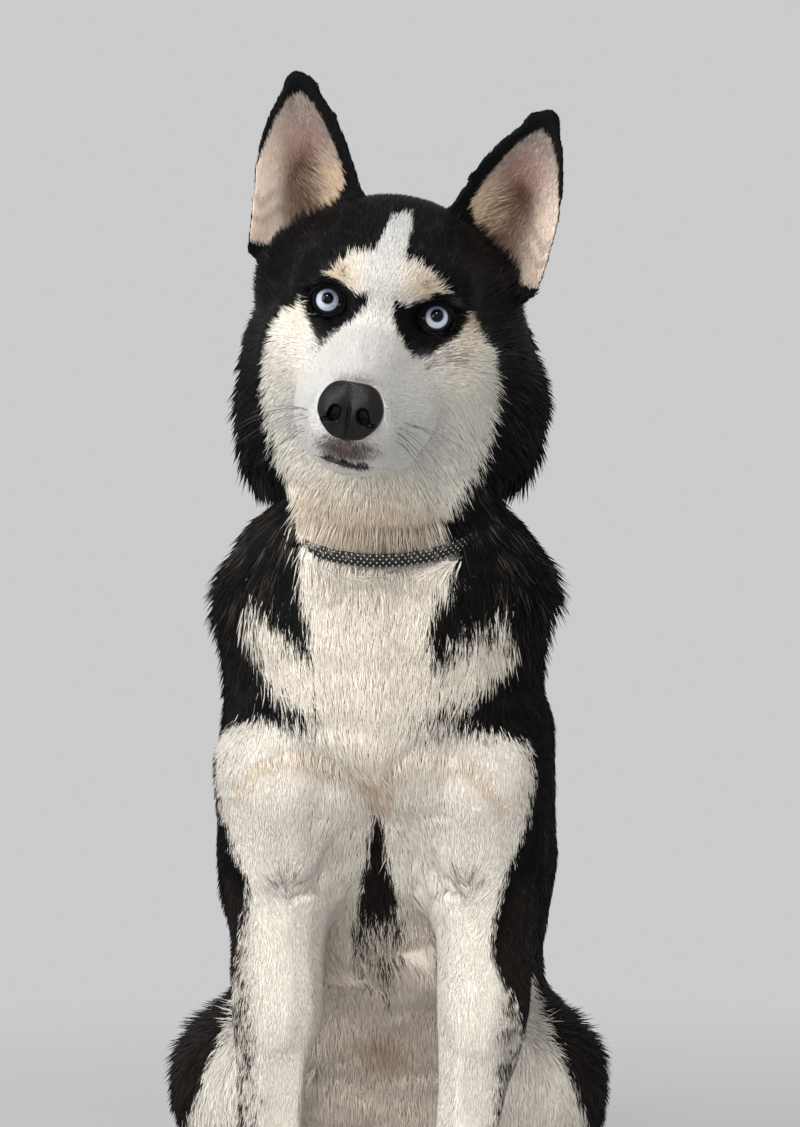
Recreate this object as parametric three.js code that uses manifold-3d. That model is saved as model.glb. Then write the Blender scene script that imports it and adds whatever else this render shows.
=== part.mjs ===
// A seated husky, life size, in millimetres: +Z is up, the dog looks along -Y and its left side is at +X.
// The outer surface of the coat is one smooth field, made of round-ended cones and ellipsoids laid along
// the bones. The field is meshed where each part lies, and each part is cut free by plain solids that
// leave a thin gap, so every part is one closed body and all of them together have one smooth outline.
import * as THREE from "three";
import { mergeVertices } from "three/addons/utils/BufferGeometryUtils.js";
import Module from "manifold-3d";

const wasm = await Module();
wasm.setup();

// ---------------------------------------------------------------- driving sizes
const GAP = 0.3; // between neighbouring parts
const LEG_X = 61; // half the distance between the forelegs
const CARPUS_Z = 92; // wrist height
const HOCK_X = 92; // half the distance between the hocks
const EYE_X = 32; // half the distance between the eyes
const EYE_R = 11; // eyeball radius
const COLLAR = { x: 2, y: 10, z: 487, half_wide: 62, half_long: 80, tall: 13, thick: 5, tilt: 22 };
const HEAD = { x: 3.4, y: -85, z: 604, pitch: 6, yaw: -2, roll: 9.3 }; // midpoint of the eyes, and the tilt

const vec = (p) => new THREE.Vector3(...p);
const rad = THREE.MathUtils.degToRad;
const mirror = ([x, y, z]) => [-x, y, z];

// ---------------------------------------------------------------- the field
// Every form gives a signed distance, negative inside. `wide` stretches a form along X.
function limb(a, b, ra, rb, wide = 1) {
  const from = vec(a);
  const along = vec(b).sub(from);
  from.x /= wide;
  along.x /= wide;
  const length2 = along.lengthSq();
  return (x, y, z) => {
    const dx = x / wide - from.x;
    const dy = y - from.y;
    const dz = z - from.z;
    const t = THREE.MathUtils.clamp((dx * along.x + dy * along.y + dz * along.z) / length2, 0, 1);
    return Math.hypot(dx - t * along.x, dy - t * along.y, dz - t * along.z) - ra - t * (rb - ra);
  };
}

// An ellipsoid, tipped about X by `tip` degrees.
function ball(c, r, tip = 0) {
  const cos = Math.cos(rad(tip));
  const sin = Math.sin(rad(tip));
  return (x, y, z) => {
    const px = (x - c[0]) / r[0];
    const py = ((y - c[1]) * cos + (z - c[2]) * sin) / r[1];
    const pz = ((z - c[2]) * cos - (y - c[1]) * sin) / r[2];
    const k0 = Math.hypot(px, py, pz);
    const k1 = Math.hypot(px / r[0], py / r[1], pz / r[2]);
    return k1 < 1e-9 ? -Math.min(...r) : (k0 * (k0 - 1)) / k1;
  };
}

const pair = (form) => [form, (x, y, z) => form(-x, y, z)];

function softer(a, b, k) {
  const h = Math.max(k - Math.abs(a - b), 0) / k;
  return Math.min(a, b) - (h * h * k) / 4;
}

// Joins forms into one, rounding each meeting over about k millimetres.
function blend(k, ...forms) {
  const all = forms.flat();
  return (x, y, z) => all.reduce((d, form) => softer(d, form(x, y, z), k), 1e3);
}

// Takes hollows out of a form, with edges rounded over about k millimetres.
const carve = (k, form, hollows) => (x, y, z) =>
  -hollows.reduce((d, hollow) => softer(d, hollow(x, y, z), k), -form(x, y, z));

const trunkForm = blend(
  42,
  limb([0, 28, 428], [0, 96, 340], 86, 101, 0.88), // upper chest
  limb([0, 98, 336], [0, 158, 268], 101, 106, 0.98), // ribs
  limb([0, 158, 268], [0, 232, 168], 104, 92, 0.92), // loin
  limb([0, 232, 168], [0, 268, 104], 92, 92, 1.0), // rump
  limb([0, 82, 462], [0, 135, 410], 72, 82, 0.8), // withers
  ball([0, -36, 392], [62, 46, 74]), // breast
  pair(limb([50, 4, 444], [38, 14, 384], 46, 44)), // shoulder
);

const neckForm = blend(
  34,
  limb([0, 42, 470], [8, 18, 575], 80, 70, 0.9),
  limb([0, 74, 490], [6, 58, 580], 58, 54), // crest
  limb([0, -18, 466], [4, -22, 540], 48, 46), // throat
  limb([-52, 6, 588], [-53, 2, 542], 27, 26), // ruff, on the right
  limb([-53, 2, 542], [-36, 6, 506], 26, 28),
  limb([64, 8, 586], [66, 2, 548], 22, 25), // ruff, on the left
  limb([66, 2, 548], [52, 4, 506], 25, 28),
);

const FOREFOOT_X = { left: 50, right: -66 }; // the dog stands a little to its right
function forelegForm(side, footX) {
  const foot = Math.abs(footX);
  const form = blend(
    20,
    limb([LEG_X - 4, -14, 336], [LEG_X, 10, 275], 42, 34), // upper arm
    limb([LEG_X, 6, 270], [LEG_X + 1, 2, 196], 30, 26), // forearm
    limb([LEG_X + 1, 2, 196], [foot, 0, CARPUS_Z], 25, 19),
    limb([LEG_X, 40, 268], [LEG_X + 1, 18, 215], 18, 14), // point of the elbow
    limb([foot, 1, CARPUS_Z], [foot, -14, 38], 20, 20), // pastern
    ball([foot, -22, 20], [27, 34, 22]), // paw
  );
  return (x, y, z) => form(side * x, y, z);
}

const hindlegForm = blend(
  26,
  limb([60, 268, 102], [88, 168, 122], 83, 50), // thigh
  limb([90, 165, 116], [HOCK_X, 262, 60], 43, 26), // second thigh
  limb([HOCK_X, 284, 40], [HOCK_X + 12, 150, 17], 22, 19), // rear pastern, on the floor
  ball([HOCK_X + 16, 110, 19], [27, 37, 22]), // paw
);

// Four toes in an arc in front of a paw's middle.
function toes(x, y, reach) {
  return [-1.5, -0.5, 0.5, 1.5].map((i) => {
    const side = x + i * 15;
    const front = y - reach + 5 * i * i;
    return limb([side, front + 18, 20], [side, front, 10.5], 12, 12);
  });
}

const hindToes = blend(5, toes(HOCK_X + 16, 108, 32));

// The tail lies on the floor and curls forward round the dog's left side.
const tailPath = new THREE.CatmullRomCurve3(
  [
    [0, 318, 92],
    [8, 374, 62],
    [50, 416, 46],
    [106, 416, 36],
    [152, 388, 29],
    [178, 346, 24],
  ].map(vec),
);
const TAIL_STEPS = 7;
const tailRadius = (t) => 34 + 16 * Math.sin(Math.PI * Math.min(1, 1.4 * t)) - 14 * t;
const tailForm = blend(
  22,
  Array.from({ length: TAIL_STEPS }, (_, i) => {
    const t = i / TAIL_STEPS;
    const next = (i + 1) / TAIL_STEPS;
    return limb(
      tailPath.getPoint(t).toArray(),
      tailPath.getPoint(next).toArray(),
      tailRadius(t),
      tailRadius(next),
    );
  }),
);

// ---------------------------------------------------------------- the head, in a frame of its own
// Its origin is midway between the eyes, and its axes are level and square to the skull.
const eyeSocket = pair(ball([34, -15, -1], [19, 11, 9]));
const skullForm = blend(
  16,
  ball([0, 60, 8], [66, 68, 58.5]), // cranium
  ball([0, 16, 14], [47, 37, 33]), // forehead
  pair(limb([12, -8, 14], [38, 3, 15], 14, 12)), // brows
  limb([0, -4, -31], [0, -88, -52], 29, 17, 1.02), // bridge of the muzzle
  pair(limb([15, -14, -50], [9, -86, -62], 25, 15)), // upper lips
  limb([0, 16, -70], [0, -74, -80], 24, 11.5, 1.15), // lower jaw
  pair(limb([38, 22, -26], [44, 62, -22], 30, 34)), // cheekbones
  pair(limb([38, 44, -52], [30, 74, -78], 34, 34)), // cheek ruff
  pair(limb([54, 66, 14], [53, 70, -22], 23, 25)), // below the ears
);

const headForm = carve(7, skullForm, eyeSocket);

const toHead = new THREE.Matrix4()
  .makeRotationFromEuler(new THREE.Euler(rad(HEAD.pitch), rad(HEAD.roll), rad(HEAD.yaw), "YZX"))
  .setPosition(HEAD.x, HEAD.y, HEAD.z);
const fromHead = toHead.clone().invert();

// A head form, asked about a point of the whole dog.
function placed(form) {
  const m = fromHead.elements;
  return (x, y, z) =>
    form(
      m[0] * x + m[4] * y + m[8] * z + m[12],
      m[1] * x + m[5] * y + m[9] * z + m[13],
      m[2] * x + m[6] * y + m[10] * z + m[14],
    );
}

// ---------------------------------------------------------------- the collar's plane, and the nip it makes
const collarTurn = new THREE.Matrix4()
  .makeRotationX(rad(COLLAR.tilt))
  .setPosition(COLLAR.x, COLLAR.y, COLLAR.z);
const collarUp = new THREE.Vector3(0, 0, 1).transformDirection(collarTurn);
const NIP = { deep: 9, side: 6, tall: 17, reach: 118 };

function nip(x, y, z) {
  const dx = x - COLLAR.x;
  const dy = y - COLLAR.y;
  const dz = z - COLLAR.z;
  const off = dx * collarUp.x + dy * collarUp.y + dz * collarUp.z;
  const far = Math.hypot(dx, dy, dz) / NIP.reach;
  const front = THREE.MathUtils.smoothstep(-dy, 0, 60);
  return (NIP.side + (NIP.deep - NIP.side) * front) * Math.exp(-((off / NIP.tall) ** 2) - far ** 6);
}

// ---------------------------------------------------------------- the whole coat
const uprightForm = blend(30, trunkForm, neckForm);
const legForms = [
  forelegForm(1, FOREFOOT_X.left),
  forelegForm(-1, FOREFOOT_X.right),
  blend(5, toes(FOREFOOT_X.left, -22, 30)),
  blend(5, toes(FOREFOOT_X.right, -22, 30)),
  pair(hindlegForm),
  pair(hindToes),
];
const limbsForm = blend(9, ...legForms);
const tornForm = blend(14, uprightForm, limbsForm, tailForm);
const headPlaced = placed(headForm);
const coat = (x, y, z) => softer(tornForm(x, y, z) + nip(x, y, z), headPlaced(x, y, z), 20);

// ---------------------------------------------------------------- meshing
const spaced = (from, to, size) => {
  const n = Math.max(1, Math.round((to - from) / size));
  return Array.from({ length: n + 1 }, (_, i) => from + ((to - from) * i) / n);
};

// Grid lines `size` apart, and closer together inside an optional stretch [from, to, size].
function gridLines(from, to, size, fine) {
  if (!fine) return spaced(from, to, size);
  const [start, end, close] = fine;
  return [
    ...spaced(from, start, size),
    ...spaced(start, end, close).slice(1),
    ...spaced(end, to, size).slice(1),
  ];
}

function eachPoint(counts, visit) {
  for (let k = 0; k < counts[2]; k++)
    for (let j = 0; j < counts[1]; j++)
      for (let i = 0; i < counts[0]; i++) visit([i, j, k]);
}

// Slides a point along the field's slope to its zero, without leaving its own cell.
function ontoSurface(field, p, room) {
  const h = 0.5;
  for (let round = 0; round < 3; round++) {
    const slope = new THREE.Vector3(
      field(p.x + h, p.y, p.z) - field(p.x - h, p.y, p.z),
      field(p.x, p.y + h, p.z) - field(p.x, p.y - h, p.z),
      field(p.x, p.y, p.z + h) - field(p.x, p.y, p.z - h),
    ).divideScalar(2 * h);
    p.addScaledVector(slope, -field(p.x, p.y, p.z) / Math.max(0.2, slope.lengthSq()));
    p.clamp(room.min, room.max);
  }
  return p;
}

const CORNERS = [0, 1, 2, 3, 4, 5, 6, 7].map((c) => [c & 1, (c >> 1) & 1, c >> 2]);
const EDGES = CORNERS.flatMap((_, a) => [1, 2, 4].filter((bit) => !(a & bit)).map((bit) => [a, a | bit]));

// The middle of the places where the surface crosses a cell's edges, or null where it crosses none.
function crossing(values, room) {
  const size = room.getSize(new THREE.Vector3());
  const corners = CORNERS.map((c) => new THREE.Vector3(...c).multiply(size).add(room.min));
  const hits = EDGES.filter(([a, b]) => values[a] < 0 !== values[b] < 0).map(([a, b]) =>
    corners[a].clone().lerp(corners[b], values[a] / (values[a] - values[b])),
  );
  return hits.length ? hits.reduce((sum, p) => sum.add(p)).divideScalar(hits.length) : null;
}

// Surface nets: one vertex in each cell that the surface crosses, and one quad round each grid edge that
// it crosses. The field counts as outside on the box's own faces, so the mesh is always closed.
function meshField(field, box, size, fine = []) {
  const lines = ["x", "y", "z"].map((axis, m) => gridLines(box.min[axis], box.max[axis], size, fine[m]));
  const counts = lines.map((line) => line.length);
  const strides = [1, counts[0], counts[0] * counts[1]];
  const at = (p) => p[0] + p[1] * strides[1] + p[2] * strides[2];
  const place = (p) => new THREE.Vector3(lines[0][p[0]], lines[1][p[1]], lines[2][p[2]]);

  const value = new Float64Array(counts[0] * counts[1] * counts[2]);
  eachPoint(counts, (p) => {
    const face = p.some((n, m) => n === 0 || n === counts[m] - 1);
    const d = field(...place(p).toArray());
    value[at(p)] = face ? Math.max(d, 0.5) : d;
  });

  const cells = counts.map((n) => n - 1);
  const vertexOf = new Int32Array(value.length).fill(-1);
  const position = [];
  eachPoint(cells, (p) => {
    const room = new THREE.Box3(place(p), place(p.map((n) => n + 1)));
    const values = CORNERS.map((c) => value[at(p.map((n, m) => n + c[m]))]);
    const found = crossing(values, room);
    if (!found) return;
    const edge = p.some((n, m) => n === 0 || n === cells[m] - 1);
    vertexOf[at(p)] = position.length / 3;
    position.push(...(edge ? found : ontoSurface(field, found, room)).toArray());
  });

  const index = [];
  eachPoint(cells, (p) => {
    for (let axis = 0; axis < 3; axis++) {
      if (p.some((n, m) => m !== axis && n === 0)) continue;
      const here = at(p);
      const inside = value[here] < 0;
      if (inside === value[here + strides[axis]] < 0) continue;
      const u = strides[(axis + 1) % 3];
      const v = strides[(axis + 2) % 3];
      const quad = [here - u - v, here - v, here, here - u].map((n) => vertexOf[n]);
      if (!inside) quad.reverse();
      index.push(quad[0], quad[1], quad[2], quad[0], quad[2], quad[3]);
    }
  });
  return new THREE.BufferGeometry()
    .setAttribute("position", new THREE.Float32BufferAttribute(position, 3))
    .setIndex(index);
}

// ---------------------------------------------------------------- solids
// The geometry with each shared vertex held once, moved out along its normals by `grow`.
function closed(geometry, grow = 0) {
  const g = geometry.clone();
  g.deleteAttribute("normal");
  g.deleteAttribute("uv");
  const merged = mergeVertices(g, 1e-3);
  if (grow === 0) return merged;
  merged.computeVertexNormals();
  const p = merged.attributes.position;
  const [at, normal] = [new THREE.Vector3(), new THREE.Vector3()];
  for (let i = 0; i < p.count; i++) {
    normal.fromBufferAttribute(merged.attributes.normal, i);
    at.fromBufferAttribute(p, i).addScaledVector(normal, grow);
    p.setXYZ(i, ...at.toArray());
  }
  return merged;
}

function solid(geometry, matrix = new THREE.Matrix4(), grow = 0) {
  const g = closed(geometry, grow).applyMatrix4(matrix);
  return new wasm.Manifold(
    new wasm.Mesh({
      numProp: 3,
      vertProperties: new Float32Array(g.attributes.position.array),
      triVerts: new Uint32Array(g.index.array),
    }),
  );
}

function toGeometry(made) {
  const mesh = made.getMesh();
  const g = new THREE.BufferGeometry()
    .setAttribute("position", new THREE.BufferAttribute(mesh.vertProperties, mesh.numProp))
    .setIndex(new THREE.BufferAttribute(mesh.triVerts, 1));
  g.computeVertexNormals();
  return g;
}

const biggest = (made) => made.decompose().reduce((a, b) => (b.volume() > a.volume() ? b : a));

// Everything on the side of a plane that its normal points to.
function halfSpace(point, normal) {
  const reach = 1400;
  const turn = new THREE.Matrix4().makeRotationFromQuaternion(
    new THREE.Quaternion().setFromUnitVectors(new THREE.Vector3(0, 0, 1), normal),
  );
  const block = new THREE.BoxGeometry(reach, reach, reach).translate(0, 0, reach / 2);
  return solid(block, turn.setPosition(point));
}

// A plane's two sides, with the gap between them.
const beyond = ({ point, normal }) => halfSpace(point, normal);
const before = ({ point, normal }, grow = 0) =>
  halfSpace(point.clone().addScaledVector(normal, grow - GAP), normal.clone().negate());

// A tipped ellipsoid, for parting one piece of flesh from the next.
function egg(c, r, tip, grow) {
  const shape = new THREE.Matrix4()
    .makeRotationX(rad(tip))
    .scale(new THREE.Vector3(...r.map((n) => n + grow)))
    .setPosition(...c);
  return solid(new THREE.SphereGeometry(1, 14, 8), shape);
}

// An upright elliptic post from below the floor up to `top`.
function post(x, y, top, rx, ry, grow) {
  const floor = -20;
  const shape = new THREE.Matrix4()
    .makeScale(rx + grow, ry + grow, top - floor + 2 * grow)
    .setPosition(x, y, (top + floor) / 2);
  return solid(new THREE.CylinderGeometry(1, 1, 1, 12).rotateX(Math.PI / 2), shape);
}

// ---------------------------------------------------------------- ears, eyes and nose
// An ear is a sphere pressed flat between an inner and an outer edge, cupped, with its root in the skull.
const EAR = { y: 58, lean: 6, thick: 3, cup: 16, forward: 8, root: -0.22 };
const EAR_INNER = new THREE.QuadraticBezierCurve(
  new THREE.Vector2(27, 68),
  new THREE.Vector2(46, 115),
  new THREE.Vector2(76, 129),
);
const EAR_OUTER = new THREE.QuadraticBezierCurve(
  new THREE.Vector2(87, 28),
  new THREE.Vector2(100, 95),
  new THREE.Vector2(76, 129),
);

// A point on an edge, `up` the ear: 0 at the skull, 1 at the tip, and straight on below the skull.
function edgePoint(curve, up) {
  if (up >= 0) return curve.getPoint(Math.min(up, 1));
  return curve.getPoint(0).addScaledVector(curve.getTangent(0), up * curve.getLength());
}

function earGeometry(side) {
  const g = new THREE.SphereGeometry(1, 14, 9).rotateX(Math.PI / 2);
  const p = g.attributes.position;
  for (let i = 0; i < p.count; i++) {
    const height = THREE.MathUtils.clamp(p.getZ(i), -1, 1);
    const ring = Math.sqrt(1 - height * height);
    const across = ring < 0.01 ? 0 : p.getX(i) / ring; // -1 at the inner edge, 1 at the outer
    const through = ring < 0.01 ? 0 : p.getY(i) / ring; // -1 in front, 1 behind
    const up = EAR.root + (1 - EAR.root) * (0.5 + 0.5 * height);
    const above = Math.max(0, up);
    const width = Math.min(1, 2.4 * ring);
    const edge = edgePoint(EAR_INNER, up).lerp(edgePoint(EAR_OUTER, up), 0.5 + 0.5 * across * width);
    const cup = EAR.cup * (1 - across ** 2) * (1 - above) ** 0.8;
    const forward = EAR.forward * Math.max(0, across) * (1 - above);
    const thick = EAR.thick * (1.4 - 0.4 * above) * width * Math.sqrt(1 - 0.7 * across ** 4);
    p.setXYZ(i, side * edge.x, EAR.y + EAR.lean * above + cup - forward + through * thick, edge.y);
  }
  if (side < 0) g.setIndex(Array.from(g.index.array).reverse());
  return g;
}

const eyePlace = (side) => toHead.clone().multiply(new THREE.Matrix4().makeTranslation(side * EYE_X, 4, 0));
const eyeball = (side, grow = 0) => solid(new THREE.SphereGeometry(EYE_R + grow, 12, 8), eyePlace(side));

const noseForm = blend(
  7,
  pair(ball([9, -104, -52], [10.5, 9, 13.5])), // wings
  ball([0, -103, -47], [14, 11, 11]), // top
  limb([0, -106, -55], [0, -101, -67], 6, 4.5), // groove's ridge
);

// ---------------------------------------------------------------- cutting the parts free
const collarPlane = { point: vec([COLLAR.x, COLLAR.y, COLLAR.z]), normal: collarUp };
const headPlane = {
  point: vec([0, 92, -45]).applyMatrix4(toHead),
  normal: vec([0, 0.8, -0.6]).transformDirection(toHead),
};
const tailPlane = { point: vec([0, 352, 60]), normal: vec([0, 1, 0]) };
const floorPlane = { point: vec([0, 0, 0]), normal: vec([0, 0, 1]) };

// A band with bevelled edges, turned round an ellipse and tilted.
function collarBand(grow = 0) {
  const [t, h, bevel] = [COLLAR.thick / 2 + grow, COLLAR.tall / 2 + grow, 1.5];
  const mean = (COLLAR.half_wide + COLLAR.half_long) / 2;
  const quarter = [[t, h - bevel], [t - bevel, h]];
  const section = [
    ...quarter,
    ...quarter.map(([x, y]) => [-x, y]).reverse(),
    ...quarter.map(([x, y]) => [-x, -y]),
    ...quarter.map(([x, y]) => [x, -y]).reverse(),
    quarter[0],
  ];
  const ring = new THREE.LatheGeometry(section.map(([x, y]) => new THREE.Vector2(mean + x, y)), 24)
    .rotateX(Math.PI / 2)
    .scale(COLLAR.half_wide / mean, COLLAR.half_long / mean, 1);
  return solid(ring, collarTurn);
}

// Flesh inside a box, meshed with cells of a given size and made flat where it meets the floor.
const flesh = (min, max, size, fine) =>
  solid(meshField(coat, new THREE.Box3(vec(min), vec(max)), size, fine)).intersect(beyond(floorPlane));

// The same box on the dog's left (side 1) or right (side -1).
function sideFlesh(side, [x0, y0, z0], [x1, y1, z1], size) {
  const [low, high] = side > 0 ? [x0, x1] : [-x1, -x0];
  return flesh([low, y0, z0], [high, y1, z1], size);
}

const ELBOW_Z = 262; // where the forearm parts from the upper arm
const WRIST_Z = 58; // where the paw parts from the forearm
const footX = (side) => (side > 0 ? FOREFOOT_X.left : FOREFOOT_X.right);
const upperArm = (side, grow = 0) => egg([side * 66, -12, 322], [42, 52, 70], 14, grow);
const forearm = (side, grow = 0) => post(side * LEG_X, 6, ELBOW_Z, 42, 54, grow);
const forepaw = (side, grow = 0) => post(footX(side), -22, WRIST_Z, 40, 52, grow);
const thigh = (side, grow = 0) => egg([side * 98, 214, 134], [68, 132, 94], -8, grow);
const hindFoot = (side, grow = 0) => post(side * (HOCK_X + 10), 186, 48, 44, 132, grow);

const BLACK = 0x151414;
const WHITE = 0xe2dccf;
const dog = new THREE.Group();

function add(name, made, color, roughness = 0.85) {
  const material = new THREE.MeshStandardMaterial({ color, roughness, metalness: 0 });
  const mesh = new THREE.Mesh(toGeometry(biggest(made)), material);
  mesh.name = name;
  dog.add(mesh);
}

// ---------------------------------------------------------------- the parts of the head
const headBox = new THREE.Box3(vec([-120, -225, 470]), vec([135, 125, 760]));
const faceCells = [[-58, 62, 9], [-200, -60, 11], [540, 635, 8.7]];
const headGeometry = meshField(coat, headBox, 16, faceCells);
const noseBox = new THREE.Box3(vec([-30, -130, -80]), vec([30, -80, -25]));
const noseGeometry = meshField(noseForm, noseBox, 6);
add(
  "head",
  solid(headGeometry)
    .intersect(before(headPlane))
    .subtract(eyeball(1, GAP))
    .subtract(eyeball(-1, GAP))
    .subtract(solid(noseGeometry, toHead, GAP)),
  BLACK,
);
add("nose", solid(noseGeometry, toHead), 0x2a2424, 0.35);

const headGrown = solid(headGeometry, new THREE.Matrix4(), GAP);
for (const [name, side] of [["left", 1], ["right", -1]]) {
  add(`ear_${name}`, solid(earGeometry(side), toHead).subtract(headGrown), BLACK);
  add(`eye_${name}`, eyeball(side), 0x9fb0cc, 0.1);
}

// ---------------------------------------------------------------- neck, collar, legs, tail and trunk
add(
  "neck",
  flesh([-130, -110, 400], [140, 200, 700], 28)
    .intersect(beyond(headPlane))
    .intersect(beyond(collarPlane))
    .subtract(collarBand(GAP)),
  BLACK,
);
add("collar", collarBand(), 0x101012, 0.6);

let trunk = flesh([-160, -110, -20], [160, 400, 600], 45)
  .intersect(before(collarPlane))
  .intersect(before(tailPlane))
  .subtract(collarBand(GAP));
let tail = flesh([-70, 300, -20], [280, 500, 170], 27).intersect(beyond(tailPlane));

for (const [name, side] of [["left", 1], ["right", -1]]) {
  const arm = sideFlesh(side, [16, -90, -20], [165, 70, 420], 22);
  const paw = sideFlesh(side, [10, -110, -20], [120, 40, 100], 12);
  const haunch = sideFlesh(side, [20, 40, -20], [165, 400, 300], 28);
  const foot = sideFlesh(side, [20, 30, -20], [165, 345, 80], 20);
  add(`foreleg_upper_${name}`, arm.intersect(upperArm(side)).subtract(forearm(side, GAP)), WHITE);
  add(`foreleg_lower_${name}`, arm.intersect(forearm(side)).subtract(forepaw(side, GAP)), WHITE);
  add(`forepaw_${name}`, paw.intersect(forepaw(side)), WHITE);
  add(`thigh_${name}`, haunch.intersect(thigh(side)).subtract(hindFoot(side, GAP)), WHITE);
  add(`hind_foot_${name}`, foot.intersect(hindFoot(side)), WHITE);
  const foreleg = upperArm(side, GAP).add(forearm(side, GAP));
  const hindleg = thigh(side, GAP).add(hindFoot(side, GAP));
  trunk = trunk.subtract(foreleg).subtract(hindleg);
  tail = tail.subtract(hindleg);
}
add("trunk", trunk, BLACK);
add("tail", tail, BLACK);

// The origin is on the floor, under the middle of the dog's box.
const middle = new THREE.Box3().setFromObject(dog).getCenter(new THREE.Vector3());
dog.position.set(-middle.x, -middle.y, 0);

export default dog;
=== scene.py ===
# %% [markdown]
# # A seated sled dog, as a life-size still model
# The dog sits facing -Y with its head tipped a little to one side. The solid model gives its true outline, out
# to the tips of the coat. This lesson dresses it: a skin under the coat, hundreds of thousands of small hair
# tufts combed over that skin, two pale blue eyes with lids, nose leather, lips, whiskers, claws and a thin
# collar. The frame is loaded first and never changed. Everything else is placed from it, in metres.

# %% Load the frame
import math

import bmesh
import bpy
import numpy as np
from mathutils import Matrix, Vector
from mathutils.bvhtree import BVHTree
from mathutils.kdtree import KDTree


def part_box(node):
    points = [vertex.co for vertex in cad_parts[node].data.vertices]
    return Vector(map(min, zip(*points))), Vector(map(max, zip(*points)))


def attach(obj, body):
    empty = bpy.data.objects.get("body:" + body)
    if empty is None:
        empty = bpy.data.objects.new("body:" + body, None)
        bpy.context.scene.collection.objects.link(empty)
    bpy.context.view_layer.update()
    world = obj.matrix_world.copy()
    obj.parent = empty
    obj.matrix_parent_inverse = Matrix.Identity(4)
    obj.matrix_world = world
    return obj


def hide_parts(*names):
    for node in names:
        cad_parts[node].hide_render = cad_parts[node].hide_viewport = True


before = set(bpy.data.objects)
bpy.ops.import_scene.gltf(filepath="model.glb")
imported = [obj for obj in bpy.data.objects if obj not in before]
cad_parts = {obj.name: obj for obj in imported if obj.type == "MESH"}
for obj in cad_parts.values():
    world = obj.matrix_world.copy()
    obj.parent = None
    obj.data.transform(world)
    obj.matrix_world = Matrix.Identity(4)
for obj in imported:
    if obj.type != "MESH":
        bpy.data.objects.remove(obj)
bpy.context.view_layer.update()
rng = np.random.default_rng(11)
MM = 0.001

# %% [markdown]
# ## Two sets of axes
# A groomer thinks of "behind the eye" or "under the elbow". So places on the body are given in millimetres from
# the floor between the forelegs, and places on the head in millimetres from the point between the eyes, along
# the tipped head's own axes. Both are worked out from the frame: the collar and the eyes say where they are.

# %% Body axes and head axes
def box_middle(node):
    low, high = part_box(node)
    return np.array((low + high) / 2)

COLLAR_FROM_BODY = np.array([2.0, 10.0, 0.0])          # the collar's middle, seen from the body's origin
HEAD_PITCH, HEAD_YAW, HEAD_ROLL = (math.radians(a) for a in (6.0, -2.0, 9.3))
EYE_FROM_HEAD = np.array([0.0, 4.0, 0.0])              # between the eyes, seen from the head's origin

collar_middle = box_middle("collar")
BODY_ORIGIN = np.array([collar_middle[0], collar_middle[1], 0.0]) - COLLAR_FROM_BODY * MM
head_turn = (Matrix.Rotation(HEAD_ROLL, 3, "Y") @ Matrix.Rotation(HEAD_YAW, 3, "Z")
             @ Matrix.Rotation(HEAD_PITCH, 3, "X"))
HEAD_AXES = np.array(head_turn)
between_eyes = (box_middle("eye_left") + box_middle("eye_right")) / 2
HEAD_ORIGIN = between_eyes - HEAD_AXES @ EYE_FROM_HEAD * MM


def on_body(points):
    """Points of the row frame, in millimetres from the body's origin."""
    return (np.asarray(points) - BODY_ORIGIN) / MM


def on_head(points):
    """Points of the row frame, in millimetres along the head's own axes."""
    return (np.asarray(points) - HEAD_ORIGIN) / MM @ HEAD_AXES


def from_body(points):
    return np.asarray(points) * MM + BODY_ORIGIN


def from_head(points):
    return np.asarray(points) * MM @ HEAD_AXES.T + HEAD_ORIGIN


def unit(vectors):
    length = np.linalg.norm(vectors, axis=-1, keepdims=True)
    return vectors / np.maximum(length, 1e-9)


def ramp(values, low, high):
    """0 below low, 1 above high, and a smooth step between."""
    t = np.clip((values - low) / (high - low), 0, 1)
    return t * t * (3 - 2 * t)


print("eyes at", np.round(on_body([box_middle("eye_left"), box_middle("eye_right")]), 1).tolist())

# %% [markdown]
# ## Camera, floor and light
# The camera stands level, two metres in front of the face, a touch to the dog's left, with a long lens. A long
# lens keeps the muzzle from looking too big. The main light is one large soft lamp on the dog's right. A weaker
# low one in front fills the shadows, and isn't mirrored in the eyes. A small one over the camera makes their
# glint. The sky is an even pale grey, and the floor is a disc that fades out into it, so that no edge shows
# behind the dog. A curved paper backdrop would do it too, but it would stand in the way of the views from behind.

# %% Camera
CAMERA_PLACE = (0.0406, -2.2201, 0.458)
CAMERA_TURN = math.radians(1.5)          # a touch to its own left
LENS, SENSOR_HEIGHT = 111.2, 36.0        # millimetres
FARTHEST = 50.0


def shown(name, data):
    """A new object in the scene that holds this mesh, camera or light."""
    made = bpy.data.objects.new(name, data)
    bpy.context.scene.collection.objects.link(made)
    return made


camera_data = bpy.data.cameras.new("camera")
camera_data.sensor_fit = "VERTICAL"
camera_data.sensor_height = SENSOR_HEIGHT
camera_data.lens = LENS
camera_data.clip_end = FARTHEST
camera = shown("camera", camera_data)
camera.location = CAMERA_PLACE
camera.rotation_euler = (math.radians(90), 0, CAMERA_TURN)
bpy.context.scene.camera = camera

# %% A small language for node trees
class Value:
    """One output of a node. Python's own operators on it add Math nodes."""

    def __init__(self, tree, socket):
        self.tree = tree
        self.socket = socket

    def maths(self, operation, *others):
        return self.tree.add("ShaderNodeMath", {"operation": operation}, dict(enumerate((self, *others))))

    def __add__(self, other): return self.maths("ADD", other)
    def __mul__(self, other): return self.maths("MULTIPLY", other)
    def __rsub__(self, other): return (self * -1.0) + other
    __radd__ = __add__

    def ramp(self, low, high):
        """0 below low, 1 above high, and a smooth step between."""
        return self.tree.add("ShaderNodeMapRange", {"interpolation_type": "SMOOTHSTEP"},
                             {"Value": self, "From Min": low, "From Max": high})


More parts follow.
